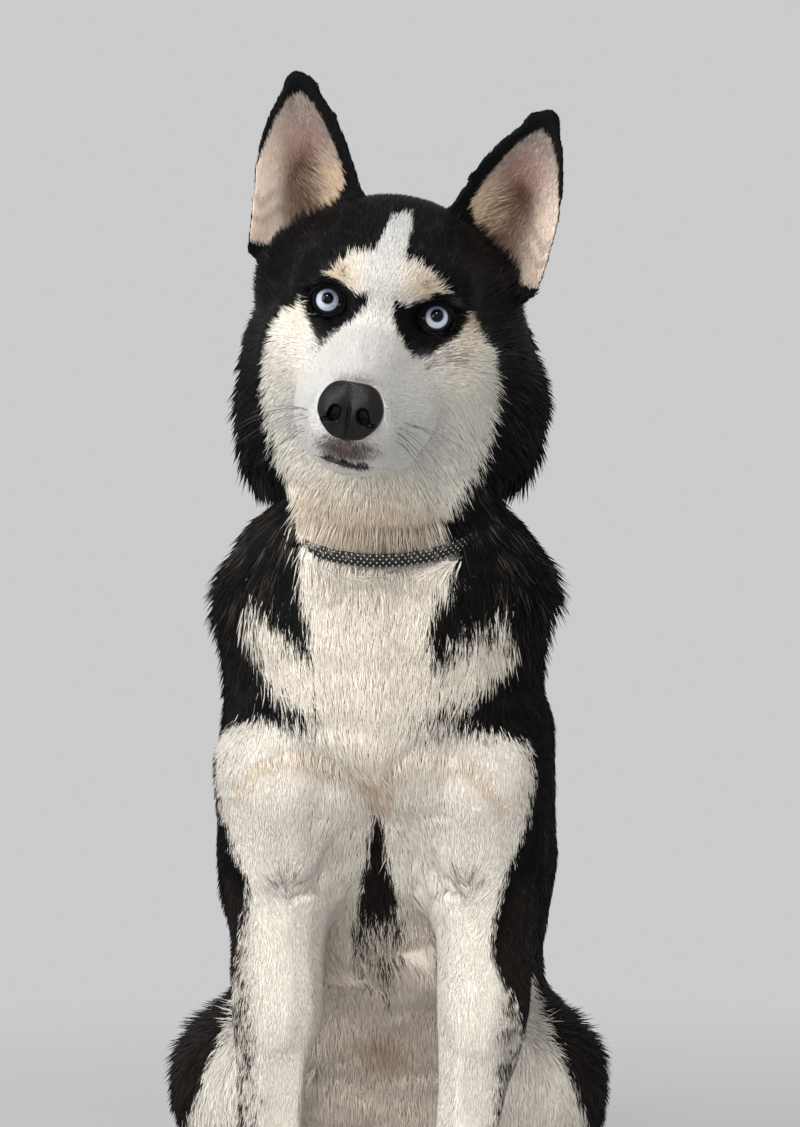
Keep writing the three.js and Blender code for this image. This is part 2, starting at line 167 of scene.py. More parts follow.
class Tree:
    """A node tree, and the one method that adds its nodes."""

    def __init__(self, tree):
        self.nodes = tree.nodes
        self.links = tree.links

    def put(self, socket, value):
        if isinstance(value, Value):
            self.links.new(value.socket, socket)
        else:
            socket.default_value = value

    def add(self, kind, settings=None, sockets=None, out=0):
        """A node of that kind. Settings come first, then sockets, each a number, a colour or another Value."""
        node = self.nodes.new(kind)
        for key, value in (settings or {}).items():
            setattr(node, key, value)
        for key, value in (sockets or {}).items():
            self.put(node.inputs[key], value)
        return Value(self, node.outputs[out]) if len(node.outputs) else None


class Finish(Tree):
    """A new material. Each method adds nodes to its tree."""

    def __init__(self, name):
        self.material = bpy.data.materials.new(name)
        self.material.use_nodes = True
        super().__init__(self.material.node_tree)
        self.nodes.clear()

    def mix(self, share, first, second):
        """A colour between first and second."""
        node = self.nodes.new("ShaderNodeMix")
        node.data_type = "RGBA"
        self.put(node.inputs[0], share)
        for index, colour in ((6, first), (7, second)):
            self.put(node.inputs[index], colour if isinstance(colour, Value) else (*colour, 1.0))
        return Value(self, node.outputs[2])

    def vector(self, operation, *inputs, out=0):
        return self.add("ShaderNodeVectorMath", {"operation": operation}, dict(enumerate(inputs)), out)

    def where(self):
        return self.add("ShaderNodeTexCoord", out="Object")

    def noise(self, scale, detail=3.0, rough=0.55, vector=None):
        sockets = {"Vector": vector or self.where(), "Scale": scale, "Detail": detail, "Roughness": rough}
        return self.add("ShaderNodeTexNoise", {}, sockets)

    def bump(self, height, strength, distance):
        return self.add("ShaderNodeBump", {}, {"Height": height, "Strength": strength, "Distance": distance})

    def surface(self, **sockets):
        """Ends the material in a Principled shader with these sockets."""
        shader = self.add("ShaderNodeBsdfPrincipled", {}, {k.replace("_", " "): v for k, v in sockets.items()})
        self.add("ShaderNodeOutputMaterial", {}, {"Surface": shader})
        return self.material

# %% Floor that fades into the sky
SKY_GREY, FLOOR_GREY = 0.60, 0.58
FLOOR_RADIUS, FLOOR_CORNERS = 3.0, 96
FADE_FROM, FADE_TO = 0.45, 1.5           # metres from the dog

rim = [2 * math.pi * i / FLOOR_CORNERS for i in range(FLOOR_CORNERS)]
disc = bpy.data.meshes.new("floor")
disc.from_pydata([(FLOOR_RADIUS * math.cos(a), FLOOR_RADIUS * math.sin(a), 0.0) for a in rim], [],
                 [list(range(FLOOR_CORNERS))])
floor = shown("floor", disc)
paint = Finish("floor_paint")
faded = paint.vector("LENGTH", paint.where(), out="Value").ramp(FADE_FROM, FADE_TO)
matt = paint.add("ShaderNodeBsdfPrincipled", {}, {"Base Color": (*[FLOOR_GREY] * 3, 1), "Roughness": 0.9})
clear = paint.add("ShaderNodeBsdfTransparent")
fading = paint.add("ShaderNodeMixShader", {}, {0: faded, 1: matt, 2: clear})
paint.add("ShaderNodeOutputMaterial", {}, {"Surface": fading})
floor.data.materials.append(paint.material)

# %% Sky and lamps
sky = bpy.data.worlds.new("sky")
sky.use_nodes = True
sky.node_tree.nodes["Background"].inputs["Color"].default_value = (SKY_GREY, SKY_GREY, SKY_GREY * 1.01, 1)
bpy.context.scene.world = sky


def lamp(name, place, aim, size, watts, mirrored=True):
    """A round soft lamp turned to its aim. One that isn't mirrored leaves no glint."""
    data = bpy.data.lights.new(name, "AREA")
    data.shape = "DISK"
    data.size = size
    data.energy = watts
    made = shown(name, data)
    made.location = place
    made.rotation_euler = (Vector(place) - Vector(aim)).to_track_quat("Z", "Y").to_euler()
    made.visible_glossy = mirrored


chest, face = from_body((0, 0, 420)), from_body((0, 0, 620))
lamp("key", (-2.1, -2.35, 1.55), chest, 2.2, 70)
lamp("fill", (-0.3, -3.1, 0.6), chest, 1.8, 20, mirrored=False)
lamp("eye_light", (-0.1, -2.3, 2.3), face, 0.42, 27)
bpy.context.scene.view_settings.view_transform = "Standard"
print("camera, floor, sky and three lamps are in place")

# %% [markdown]
# ## The skin under the coat
# The solid dog is in parts, and it ends at the tips of the hair. The skin is one closed surface inside it.
# It could be modelled afresh, but the frame already has the right outline, so copies of the flesh parts are
# grown by half a millimetre, so that they touch, and remeshed into one. The flat facets are smoothed out,
# strongly on the body and hardly at all on the face and ears. This smooth surface is the outside of the coat,
# and it is kept, because the tips of the hair will lie on it. Then it is thinned and sunk by the coat's depth.

# %% Copies of the flesh parts, grown together
HARD_PARTS = ("eye_left", "eye_right", "nose", "collar")
FLESH = sorted(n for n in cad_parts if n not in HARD_PARTS)
GROWN = 0.0005    # how far each part grows, to touch the next
GRAIN = 0.002     # the remesh's grain


def grown_copy(node):
    copy = bmesh.new()
    copy.from_mesh(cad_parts[node].data)
    bmesh.ops.remove_doubles(copy, verts=copy.verts, dist=1e-5)
    copy.normal_update()
    for v in copy.verts:
        v.co += v.normal * GROWN
    mesh = bpy.data.meshes.new("grown_" + node)
    copy.to_mesh(mesh)
    copy.free()
    return mesh


def evaluated(holder):
    """The mesh that an object's modifiers make. The object itself goes."""
    made = bpy.data.meshes.new_from_object(holder.evaluated_get(bpy.context.evaluated_depsgraph_get()))
    bpy.data.objects.remove(holder)
    return made


def modified(mesh, kind, **settings):
    """The mesh that a modifier makes of this one."""
    holder = shown("holder", mesh)
    modifier = holder.modifiers.new("step", kind)
    for key, value in settings.items():
        setattr(modifier, key, value)
    return evaluated(holder)


together = bmesh.new()
for node in FLESH:
    together.from_mesh(grown_copy(node))
raw = bpy.data.meshes.new("raw_skin")
together.to_mesh(raw)
together.free()
dense = modified(modified(raw, "REMESH", mode="VOXEL", voxel_size=GRAIN), "TRIANGULATE")
print("remeshed:", len(dense.vertices), "vertices")

# %% Arrays in and out of a mesh
def fetched(items, field, width, kind=np.float32):
    """One field of a mesh's points, edges, faces or loops, with a row for each."""
    values = np.empty(len(items) * width, kind)
    items.foreach_get(field, values)
    return values.reshape(-1, width)


def corners_of(mesh):
    return fetched(mesh.vertices, "co", 3).astype(float)


def normals_of(mesh):
    mesh.update()
    return fetched(mesh.vertices, "normal", 3).astype(float)


def set_corners(mesh, points):
    mesh.vertices.foreach_set("co", np.asarray(points, np.float32).ravel())
    mesh.update()


def set_map(mesh, name, values):
    """A new map, with a pair of values for each loop."""
    mesh.uv_layers.new(name=name).data.foreach_set("uv", np.asarray(values, np.float32).ravel())


class Neighbours:
    """Averages a value over each vertex's neighbours."""

    def __init__(self, mesh):
        ends = fetched(mesh.edges, "vertices", 2, np.int32)
        self.start = np.concatenate([ends[:, 0], ends[:, 1]])
        self.end = np.concatenate([ends[:, 1], ends[:, 0]])
        self.size = len(mesh.vertices)
        self.count = np.maximum(np.bincount(self.start, minlength=self.size), 1)

    def mean(self, values):
        if values.ndim == 1:
            return np.bincount(self.start, values[self.end], self.size) / self.count
        return np.stack([self.mean(column) for column in values.T], 1)

    def melted(self, values, rounds):
        for _ in range(rounds):
            values = 0.5 * values + 0.5 * self.mean(values)
        return values

# %% Smoothing, strong on the body and light on the face
SMOOTHING_ROUNDS = 40
SHRINK, REGROW = 0.62, 0.60              # each round pulls the points in, then lets most of that out again

around = Neighbours(dense)
outside = corners_of(dense)
head_places = on_head(outside)
body_places = on_body(outside)
on_face = ramp(-head_places[:, 1], -95, -60) * ramp(head_places[:, 2], -125, -95)
on_ears = ramp(head_places[:, 2], 50, 75)
forward = -body_places[:, 1]
toes = np.maximum(ramp(forward, 5, 22), ramp(forward, -125, -105) * ramp(-forward, 40, 60))
toes = toes * ramp(-body_places[:, 2], -62, -40)
softness = np.clip(1 - 0.85 * on_face - 0.72 * on_ears - 0.8 * toes, 0.06, 1)[:, None]
for _ in range(SMOOTHING_ROUNDS):
    for pull in (SHRINK, -REGROW):
        outside += pull * softness * (around.mean(outside) - outside)
set_corners(dense, outside)

# %% [markdown]
# ## Thinning the mesh
# The remesh is even, with as many points on the back as on the lips. Decimation weighs where detail matters:
# the face and ears keep nearly all their points, and the trunk loses most of its own.

# %% Thin where nothing small is seen
SKIN_TRIANGLES = 165000
LEVELS = 10
fine = np.clip(on_face + on_ears, 0, 1)
holder = shown("outline", dense)
group = holder.vertex_groups.new(name="plain")
for level in range(LEVELS + 1):
    members = np.flatnonzero(np.round((1 - fine) * LEVELS) == level)
    if len(members):
        group.add(members.tolist(), level / LEVELS + 0.001, "REPLACE")
thin = holder.modifiers.new("thin", "DECIMATE")
thin.ratio = SKIN_TRIANGLES / len(dense.polygons)
thin.vertex_group = "plain"
outline = evaluated(holder)
print("outline:", len(outline.polygons), "triangles")

# %% [markdown]
# ## Eye sockets
# Under a dog's brow the lids follow the eyeball for a few millimetres before they meet the face. The solid head
# only has a pit there. So each eye gets axes of its own, along its gaze, and the outline is drawn to a shallow
# dome round it. Sculpting would do the same, but here the dome, the lids and the hair all ask one function.

# %% Axes of each eye, and the opening between its lids
EYE_RADIUS = 11.0
LID_DOME = 12.9                      # the radius that the closed lids would have
DOME_RIM, DOME_SLOPE = 9.0, 0.9      # past this distance from the gaze the dome becomes a cone
LOOKS_ABOVE = 0.07                   # how far over the camera the dog looks, in metres
OPENING_OUT, OPENING_IN, OPENING_TALL = 7.0, 8.0, 6.5
OPENING_TILT = math.radians(14)      # the outer corner stands higher


def turned(across, up, angle):
    return across * math.cos(angle) - up * math.sin(angle), across * math.sin(angle) + up * math.cos(angle)


class Eye:
    """An eyeball's place and its own axes: away from the nose, forward along the gaze, and up."""

    def __init__(self, name, side):
        self.name = name
        self.centre = box_middle("eye_" + name)
        self.forward = unit(np.array(camera.location) + [0, 0, LOOKS_ABOVE] - self.centre)
        self.up = unit(HEAD_AXES[:, 2] - self.forward * (HEAD_AXES[:, 2] @ self.forward))
        self.away = side * np.cross(self.up, self.forward)

    def local(self, points):
        seen = (np.asarray(points) - self.centre) / MM
        return seen @ self.away, seen @ self.forward, seen @ self.up

    def placed(self, away, forward, up):
        axes = np.stack([self.away, self.forward, self.up])
        return np.stack(np.broadcast_arrays(away, forward, up), -1) @ axes * MM + self.centre

    def opening(self, angles):
        """The lids' edge, from the outer corner round over the top."""
        c, s = np.cos(angles), np.sin(angles)
        along = np.where(c > 0, OPENING_OUT, OPENING_IN) * c
        return turned(along, OPENING_TALL * np.sign(s) * np.abs(s) ** (1.06 - 0.12 * c), OPENING_TILT)

    def reach(self, away, up):
        """0 at the middle of the opening, 1 at the lids' edge and 2 at twice its size."""
        along, tall = turned(away, up, -OPENING_TILT)
        return np.hypot(along / np.where(along > 0, OPENING_OUT, OPENING_IN), tall / OPENING_TALL)


def dome(away, up):
    """How far forward the closed lids would lie."""
    off_axis = np.hypot(away, up)
    rise = np.sqrt(LID_DOME ** 2 - np.minimum(off_axis, DOME_RIM) ** 2)
    return rise - DOME_SLOPE * np.maximum(off_axis - DOME_RIM, 0)


EYES = (Eye("left", 1), Eye("right", -1))
outer = corners_of(outline)
for eye in EYES:
    away, forward, up = eye.local(outer)
    drawn = (1 - ramp(eye.reach(away, up), 1.2, 2.0)) * (forward > -2)
    outer += (drawn * (dome(away, up) - forward))[:, None] * eye.forward * MM

# a real ear's tip is rounder than a few flat faces can show
EAR_TIP_ROUND = 12.0                 # how far below its tip an ear starts to round off, in millimetres
EAR_TIP_WIDEST = 1.7                 # and how many times wider the very tip becomes
EAR_REACH = 25                       # no point of an ear's tip is farther from its middle line
for node in ("ear_left", "ear_right"):
    ear_places = on_head([v.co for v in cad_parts[node].data.vertices])
    tip_place, ear_middle = ear_places[ear_places[:, 2].argmax()], ear_places.mean(0)
    seen = on_head(outer)
    below_tip = tip_place[2] - seen[:, 2]
    leaning = (ear_middle[0] - tip_place[0]) * below_tip / (tip_place[2] - ear_middle[2])
    off_middle = seen[:, 0] - (tip_place[0] + leaning)
    near_tip = (seen[:, 2] > tip_place[2] - EAR_TIP_ROUND) & (np.abs(off_middle) < EAR_REACH)
    wider = np.minimum(np.sqrt(EAR_TIP_ROUND / np.clip(below_tip, 0.8, EAR_TIP_ROUND)), EAR_TIP_WIDEST) - 1
    outer += (off_middle * wider * near_tip)[:, None] * HEAD_AXES[:, 0] * MM
set_corners(outline, outer)
print("gaze of the left eye:", EYES[0].forward.round(3).tolist())

# %% [markdown]
# ## Folds of the coat
# Where the ruff's hair ends over the shoulder there is a notch on each side, and the shoulder's own hair stands
# out under it. A soft crease runs over each upper arm, and each elbow has a whorl. The solid parts can't show
# these. Pushing the outline's points by smooth falloffs round named places does what a sculptor's grab brush
# does, and the list of strokes can be read and changed.

# %% Grab strokes and creases
def bump_at(places, spot, reach):
    """1 at the spot and falling away over reach, which is one size or three."""
    return np.exp(-0.5 * (((places - np.array(spot)) / np.array(reach)) ** 2).sum(-1))


def bumps(places, *spots):
    """The sum of several bumps, each a strength, a spot and a reach."""
    return sum(strength * bump_at(places, spot, reach) for strength, spot, reach in spots)


def both(places):
    """The same places with the right side laid on the left, to say a thing once for both sides."""
    return np.abs(places * [1, 0, 0]) + places * [0, 1, 1]


def off_line(places, line):
    """How far each place is from a line drawn in front view."""
    x, z = places[:, 0], places[:, 2]
    nearest = np.full(len(x), 1e9)
    for (ax, az), (bx, bz) in zip(line, line[1:]):
        ex, ez = bx - ax, bz - az
        t = np.clip(((x - ax) * ex + (z - az) * ez) / (ex * ex + ez * ez), 0, 1)
        nearest = np.minimum(nearest, np.hypot(x - ax - t * ex, z - az - t * ez))
    return nearest


def near_line(places, line, reach):
    """1 on a line drawn in front view, falling away over reach."""
    return np.exp(-0.5 * (off_line(places, line) / reach) ** 2)


MOUTH = [(-22, -82), (-14, -82.5), (-6, -83), (-1, -83.8), (4, -84.6), (10, -84.5), (16, -84), (22, -84.5)]
ARM_CREASES = [[(-82, 322), (-70, 337), (-56, 342), (-45, 342), (-28, 339), (-16, 334), (-4, 328), (-2, 314)],
               [(3, 314), (7, 329), (14, 338), (25, 342), (40, 341), (54, 336), (64, 326), (74, 312)]]
ELBOW_WHORLS = [(-55, -28, 263), (50, -23, 263)]
CREASE_WIDE, CREASE_DEEP, WHORL_DEEP = 3.0, 3.5, 5.0
GRABS = [   # on the body: place, reach, and how far it is pushed (mm)
    ((-84, 20, 498), (24, 80, 7), (20, 0, 0)),       # notches under the ruff
    ((92, 20, 498), (24, 80, 7), (-15, 0, 0)),
    ((96, 10, 448), (24, 60, 18), (7, 0, 0)),        # top of the left shoulder
    ((106, 40, 365), (24, 80, 40), (5, 0, 0)),       # the left flank
    ((-68, 20, 635), (18, 40, 13), (-9, 0, 0)),      # below the right ear
    ((-76, 20, 610), (18, 40, 8), (4, 0, 0)),
]
HEAD_GRABS = [   # on the head: the flews are broad, and the chin is square
    ((-26, -55, -82), (9, 26, 8), (-6, -2, -3)),
    ((24, -50, -82), (10, 26, 9), (9, -2, -3)),
    ((34, -30, -66), (10, 26, 14), (6, -3, 0)),
    ((-34, -40, -70), (9, 26, 12), (-4, -2, 0)),
    ((26, -48, -34), (9, 24, 10), (-3.5, 2, 0)),     # hollows between the bridge and the cheeks
    ((-27, -48, -33), (9, 24, 10), (3.5, 2, 0)),
]
seen = on_body(outer)
pushed = sum(bump_at(seen, place, reach)[:, None] * np.array(push, float) for place, reach, push in GRABS)
for place, reach, push in HEAD_GRABS:
    pushed += bump_at(on_head(outer), place, reach)[:, None] * (HEAD_AXES @ push)
in_front = ramp(-normals_of(outline)[:, 1], 0.1, 0.5) * ramp(-seen[:, 1], -10, 15)
creased = np.maximum(*(near_line(seen, crease, CREASE_WIDE) for crease in ARM_CREASES))
pushed[:, 1] += CREASE_DEEP * in_front * creased
pushed[:, 1] += WHORL_DEEP * in_front * sum(bump_at(seen, whorl, (7, 30, 4)) for whorl in ELBOW_WHORLS)
outer += pushed * MM
set_corners(outline, outer)
print("folds: pushed by up to", np.abs(pushed).max().round(1), "mm")

# %% Which part of the dog each point belongs to
PARTS = ("head", "ear", "neck", "trunk", "tail", "foreleg_upper", "foreleg_lower", "forepaw", "thigh", "hind_foot")
part_faces, part_points, part_numbers = [], [], []
for node in FLESH:
    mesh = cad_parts[node].data
    start = len(part_points)
    part_points.extend(v.co.copy() for v in mesh.vertices)
    part_faces.extend([start + i for i in face.vertices] for face in mesh.polygons)
    number = next(i for i, name in enumerate(PARTS) if node.startswith(name))
    part_numbers.extend([number] * len(mesh.polygons))
part_tree = BVHTree.FromPolygons(part_points, part_faces)

top = corners_of(outline)                              # the outside of the coat, one point per skin point
part = np.array([part_numbers[part_tree.find_nearest(Vector(p))[2]] for p in top])
around = Neighbours(outline)
share = around.melted(np.eye(len(PARTS))[part], 24)    # each point's share in every part, melted at the joins
top_normals = unit(around.melted(normals_of(outline), 2))
outline_tree = BVHTree.FromPolygons(top.tolist(), [tuple(face.vertices) for face in outline.polygons])
Hd = on_head(top)
Bd = on_body(top)
print("skin points in each part:", {name: int((part == i).sum()) for i, name in enumerate(PARTS)})

# %% [markdown]
# ## How deep the coat is
# A sled dog's hair is a few millimetres long on the muzzle and ears, and a hand's breadth on the ruff and tail.
# Every part gets a depth, the joins melt into each other, and a few swellings are added where the coat is full.
# Depth could be painted by hand as a weight map. A list of named places does the same and can be read.

# %% Depth of the coat, in millimetres
COLLAR_TILT = math.radians(22)
collar_turn = np.array(Matrix.Rotation(COLLAR_TILT, 3, "X"))
collar_up = collar_turn[:, 2]
PART_COAT = {   # depth of the coat, length of its hair, and how many hairs lie over each point
    "head": (2.0, 9, 3.2), "ear": (0.4, 4.8, 2.0), "neck": (6.0, 30, 5.5), "trunk": (3.6, 24, 4.6),
    "tail": (12, 45, 5), "foreleg_upper": (1.7, 9, 2.8), "foreleg_lower": (1.5, 8, 2.1),
    "forepaw": (1.2, 5, 1.7), "thigh": (3, 15, 3.0), "hind_foot": (1.5, 7, 1.7)}
FULLER = [   # on the head: place, reach, extra depth, extra length
    ((0, 90, 20), (70, 30, 50), 4.0, 14),        # nape
    ((76, 62, -60), (20, 30, 40), 5.0, 18),      # ruff behind the cheek
    ((0, 40, -108), (45, 40, 22), 2.5, 12),      # throat
    ((24, -8, 30), (14, 18, 8), 0.2, 3.5),       # fringe over the brow
]
MUZZLE_COAT, MORE_BEHIND = np.array([0.9, 4.5, 2.8]), np.array([1.5, 4.0, 0.6])
EAR_AT_MOST, EAR_FRINGE = (0.5, 5.0, 1.9), np.array([1.2, 11.0, 1.0])
UNDER_LIDS = 3.3                         # how far below the closed lids the skin lies

coat = share @ np.array([PART_COAT[name] for name in PARTS])
face_coat = MUZZLE_COAT + ramp(Hd[:, 1], -50, 20)[:, None] * MORE_BEHIND
is_face = (ramp(-Hd[:, 1], -50, -15) * (part == 0))[:, None]
coat = coat * (1 - is_face) + face_coat * is_face
for spot, reach, deeper, longer in FULLER:
    coat = coat + (bump_at(both(Hd), spot, reach) * share[:, 0])[:, None] * np.array([deeper, longer, 1.0])
coat = around.melted(coat, 4)
collar_height = np.abs((top - collar_middle) / MM @ collar_up)
pressed = np.exp(-((collar_height / 14) ** 2)) * ramp(share[:, 2], 0.1, 0.6)      # by the collar
coat[:, 0] *= 1 - 0.6 * pressed
coat[part == 1] = np.minimum(coat[part == 1], EAR_AT_MOST)
ear_corner = bump_at(both(Hd), (49, 64, 68), (8, 30, 12))                         # long hair at its inner corner
ear_fringe = ear_corner * (part == 1) * ramp(-top_normals[:, 1], 0, 0.4)
coat += ear_fringe[:, None] * EAR_FRINGE
depth, length, cover = coat.T

bare = unit(around.melted(top_normals, 6))
skin_points = top - bare * depth[:, None] * MM
for _ in range(3):
    skin_points += 0.5 * ramp(depth, 3, 8)[:, None] * (around.mean(skin_points) - skin_points)
for eye in EYES:                                       # under the lids the skin drops out of the way
    away, forward, up = eye.local(skin_points)
    hidden = (1 - ramp(eye.reach(away, up), 1.10, 1.28)) * (forward > -6)
    skin_points += (hidden * (dome(away, up) - UNDER_LIDS - forward))[:, None] * eye.forward * MM
skin_mesh = outline.copy()
skin_mesh.name = "skin"
set_corners(skin_mesh, skin_points)
skin_normals = unit(around.melted(normals_of(skin_mesh), 2))
print("coat depth from", depth.min().round(1), "to", depth.max().round(1), "mm")

# %% [markdown]
# ## The lie of the coat
# Hair grows away from the tip of the nose, over the head and down the neck. On the body it runs down and back,
# it streams in from the shoulders to the breast, fans out at the ruff, and turns down the legs to the toes.
# On the ears it runs to the tips. A groomer would set this with a comb, and so does this list: each comb has a
# place, a direction and a reach. Every point takes the mean of the combs near it, pressed flat to the skin.

# %% Combs
NOSE_TIP = np.array([0, -104, -52])
COMBS = [   # on the body: place, direction, reach (mm) and perhaps weight, each also mirrored to the other side
    ((0, -50, 500), (0, 0.1, -1), 45),          # throat
    ((72, 0, 560), (0.7, 0.25, -0.75), 36),     # ruff
    ((60, 0, 505), (0.35, 0.1, -0.95), 26),     # below the ruff
    ((0, -75, 430), (0, -0.12, -1), 42),        # breast
    ((60, -55, 425), (-0.62, -0.2, -0.75), 30), # in from the shoulder
    ((75, -40, 385), (-0.5, -0.1, -0.85), 28),
    ((92, 0, 462), (0.9, 0.05, -0.55), 28),     # top of the shoulder
    ((112, 20, 400), (0.1, 0.15, -1), 50),      # outside of the shoulder
    ((60, -60, 330), (0, -0.05, -1), 45),       # upper arm
    ((100, -5, 300), (0.12, 0.2, -1), 36),
    ((60, -25, 190), (0.02, 0, -1), 60),        # forearm
    ((62, 40, 250), (0.05, 0.55, -0.85), 28),   # point of the elbow
    ((42, -30, 270), (1, 0, -0.5), 8, 6),       # into the whorl over the elbow, from three sides
    ((64, -30, 270), (-1, 0, -0.5), 8, 6),
    ((53, -30, 248), (0, 0, 1), 6, 4),
    ((58, -20, 80), (0, -0.1, -1), 40),
    ((56, -45, 22), (0, -1, -0.3), 26),         # paw
    ((0, 20, 290), (0, 0.15, -1), 45),          # breastbone
    ((0, 110, 190), (0, 0.35, -1), 60),         # belly
    ((110, 110, 350), (0.05, 0.5, -0.9), 80),   # ribs
    ((110, 200, 230), (0.05, 0.35, -0.95), 60), # flank
    ((0, 110, 540), (0, 0.55, -0.85), 60),      # nape
    ((0, 170, 430), (0, 0.5, -0.9), 70),        # withers
    ((0, 260, 310), (0, 0.5, -0.9), 80),        # back
    ((0, 345, 150), (0, 0.5, -0.85), 50),       # rump
    ((125, 160, 150), (0.12, -0.1, -1), 50),    # thigh
    ((115, 260, 80), (0.1, 0.3, -0.95), 50),
    ((104, 130, 22), (0, -1, -0.25), 45),       # hind foot
]
TAIL_PATH = [(0, 330, 92), (8, 374, 62), (50, 416, 46), (106, 416, 36), (152, 388, 29), (178, 346, 24)]
TAIL_REACH = 34
LID_SPREAD, LID_REACH = 1.6, 10          # how strongly hair turns away from the lids, and how near
all_combs = COMBS + [((-p[0], p[1], p[2]), (-d[0], d[1], d[2]), *rest) for p, d, *rest in COMBS]

combed = np.zeros_like(Bd)
for place, way, reach, *weight in all_combs:
    combed += bump_at(Bd, place, reach)[:, None] * unit(np.array(way, float)) * (weight or [1])[0]
combed = unit(combed + [0, 0.02, -0.04])
tail_way = np.zeros_like(Bd)
for here, there in zip(TAIL_PATH, TAIL_PATH[1:]):
    middle = (np.array(here) + there) / 2
    tail_way += bump_at(Bd, middle, TAIL_REACH)[:, None] * unit(np.array(there, float) - here)
tail_way = unit(tail_way + 1e-6)

from_nose = unit(Hd - NOSE_TIP)
from_nose[:, 0] *= 1.25
from_nose[:, 2] -= 0.9 * ramp(np.abs(Hd[:, 0]), 32, 60) * ramp(-Hd[:, 2], 0, 50)      # cheeks hang
from_nose = unit(from_nose) @ HEAD_AXES.T
side = np.sign(Hd[:, 0])
ear_way = unit(np.stack([side * (0.42 + 1.8 * ear_fringe), 0 * side, 1 + 0 * side], 1)) @ HEAD_AXES.T
ear_share, tail_share = share[:, [1]], share[:, [4]]
head_share = share[:, [0]] * ramp(-Bd[:, 1], -30, 40)[:, None] * ramp(Hd[:, 2], -130, -70)[:, None]
other_share = np.clip(1 - ear_share - head_share - tail_share, 0, 1)
ear_share = np.where(part[:, None] == 1, 1.0, ear_share * 0.3)


def flattened(ways, normals):
    return unit(ways - (ways * normals).sum(1, keepdims=True) * normals)


lie = ear_share * ear_way + tail_share * tail_way + head_share * from_nose + other_share * combed
for eye in EYES:                                       # hair grows away from the lids
    away, forward, up = eye.local(top)
    spread = unit(np.stack([away, up], 1)) @ np.stack([eye.away, eye.up])
    near_lids = np.exp(-0.5 * (np.hypot(away, up) / LID_REACH) ** 2) * (forward > -4)
    lie = lie + LID_SPREAD * near_lids[:, None] * spread
lie = flattened(lie, skin_normals)
for _ in range(5):
    lie = flattened(0.5 * lie + 0.5 * around.mean(lie), skin_normals)
print("combed with", len(all_combs), "combs")

# %% [markdown]
# ## The markings
# Black cap, saddle and shoulders; a white blaze, face, breast, legs and belly; cream spots over the eyes; black
# patches round them. One function gives the colour at any place, and both the skin and the hair ask it, so that
# they always agree. A painted picture could do it as well, but outlines with a few points are easier to mend.
# Each outline is drawn in front view, in the head's or the body's own millimetres. Along an edge, each tuft
# falls on one side or the other by chance, as single hairs do.

# %% Outlines of the markings, in front view (across, up)
FACE = [(-2, 54), (1, 57), (6.5, 58), (9.5, 51), (10, 42), (9.8, 35), (11, 31), (16, 31.5), (24, 28.5), (31, 24),
        (35, 18.5), (39, 14), (43, 11.5), (49, 7), (53, 4), (56, -2), (61, -7), (66, -12), (70, -19), (74, -32),
        (75, -60), (72, -78), (67, -95), (58, -110), (46, -150), (-30, -150), (-36, -126), (-44, -113), (-53, -97),
        (-60, -80), (-65, -58), (-66, -44), (-65, -32), (-64, -23), (-62, -15), (-58, -10), (-54, -7), (-50, -5),
        (-47.5, 0), (-45, 4.5), (-40.5, 9.5), (-36, 14), (-32, 19), (-27, 25), (-22, 29.5), (-16.5, 32), (-9.5, 33.5),
        (-7, 36), (-6, 41), (-5.5, 46), (-4, 51)]
EYE_PATCH_LEFT = [(8, 8), (9, -2), (14, -12), (20, -19), (27, -23), (34, -20), (40, -14), (46, -7),
                  (51, 2), (50, 10), (41, 14.5), (31, 14.5), (24, 9), (16, 4)]
EYE_PATCH_RIGHT = [(-6, 9), (-8, 0), (-12, -6), (-18, -11), (-25, -19), (-30, -24), (-36, -20), (-40, -12),
                   (-46, -3), (-49, 3), (-46, 9), (-36, 14), (-25, 13), (-15, 7)]
EAR_LINING = [(38, 68), (43.5, 81), (49.5, 92), (56.5, 102.5), (64, 111), (72, 117), (79, 111), (84, 98), (88, 80),
              (95, 55), (93, 28), (84, 25), (70, 26), (58, 34), (49, 46), (40, 61)]
EAR_FOLDS = [[(78, 56), (84, 47), (88, 52)], [(74, 47), (82, 38), (90, 40)]]
BREAST = [(-49, 530), (-46, 460), (-46, 446), (-42, 430), (-39, 414), (-41, 403), (-57, 417), (-68, 429), (-80, 441),
          (-84, 424), (-79, 406), (-70, 389), (-57, 378), (-36, 370), (-34, 366), (-50, 363), (-69, 366), (-100, 360),
          (-97, 329), (-95, 310), (-86, 285), (-77, 264), (-81, 246), (-84, 222), (-90, 190), (-92, 139), (-102, 60),
          (-120, -9), (110, -9), (98, 60), (88, 139), (83, 190), (66, 225), (70, 254), (76, 273), (83, 290), (89, 307),
          (92, 328), (89, 351), (72, 358), (48, 360), (27, 363), (21, 368), (30, 369), (46, 373), (60, 381), (74, 393),
          (84, 409), (81, 426), (66, 421), (51, 411), (34, 400), (32, 414), (34, 430), (41, 441), (46, 455), (46, 530)]
BREASTBONE = [(-3, 310), (1, 302), (3, 289), (7, 268), (11, 241), (15, 216), (9, 195), (2, 181), (-10, 180),
              (-18, 202), (-21, 220), (-16, 241), (-10, 268), (-7, 289)]
WHORL_RAYS = [(-10, 7), (-5, 14), (1, 16), (7, 13), (12, 7)]      # parted hair over each elbow, from the whorl up


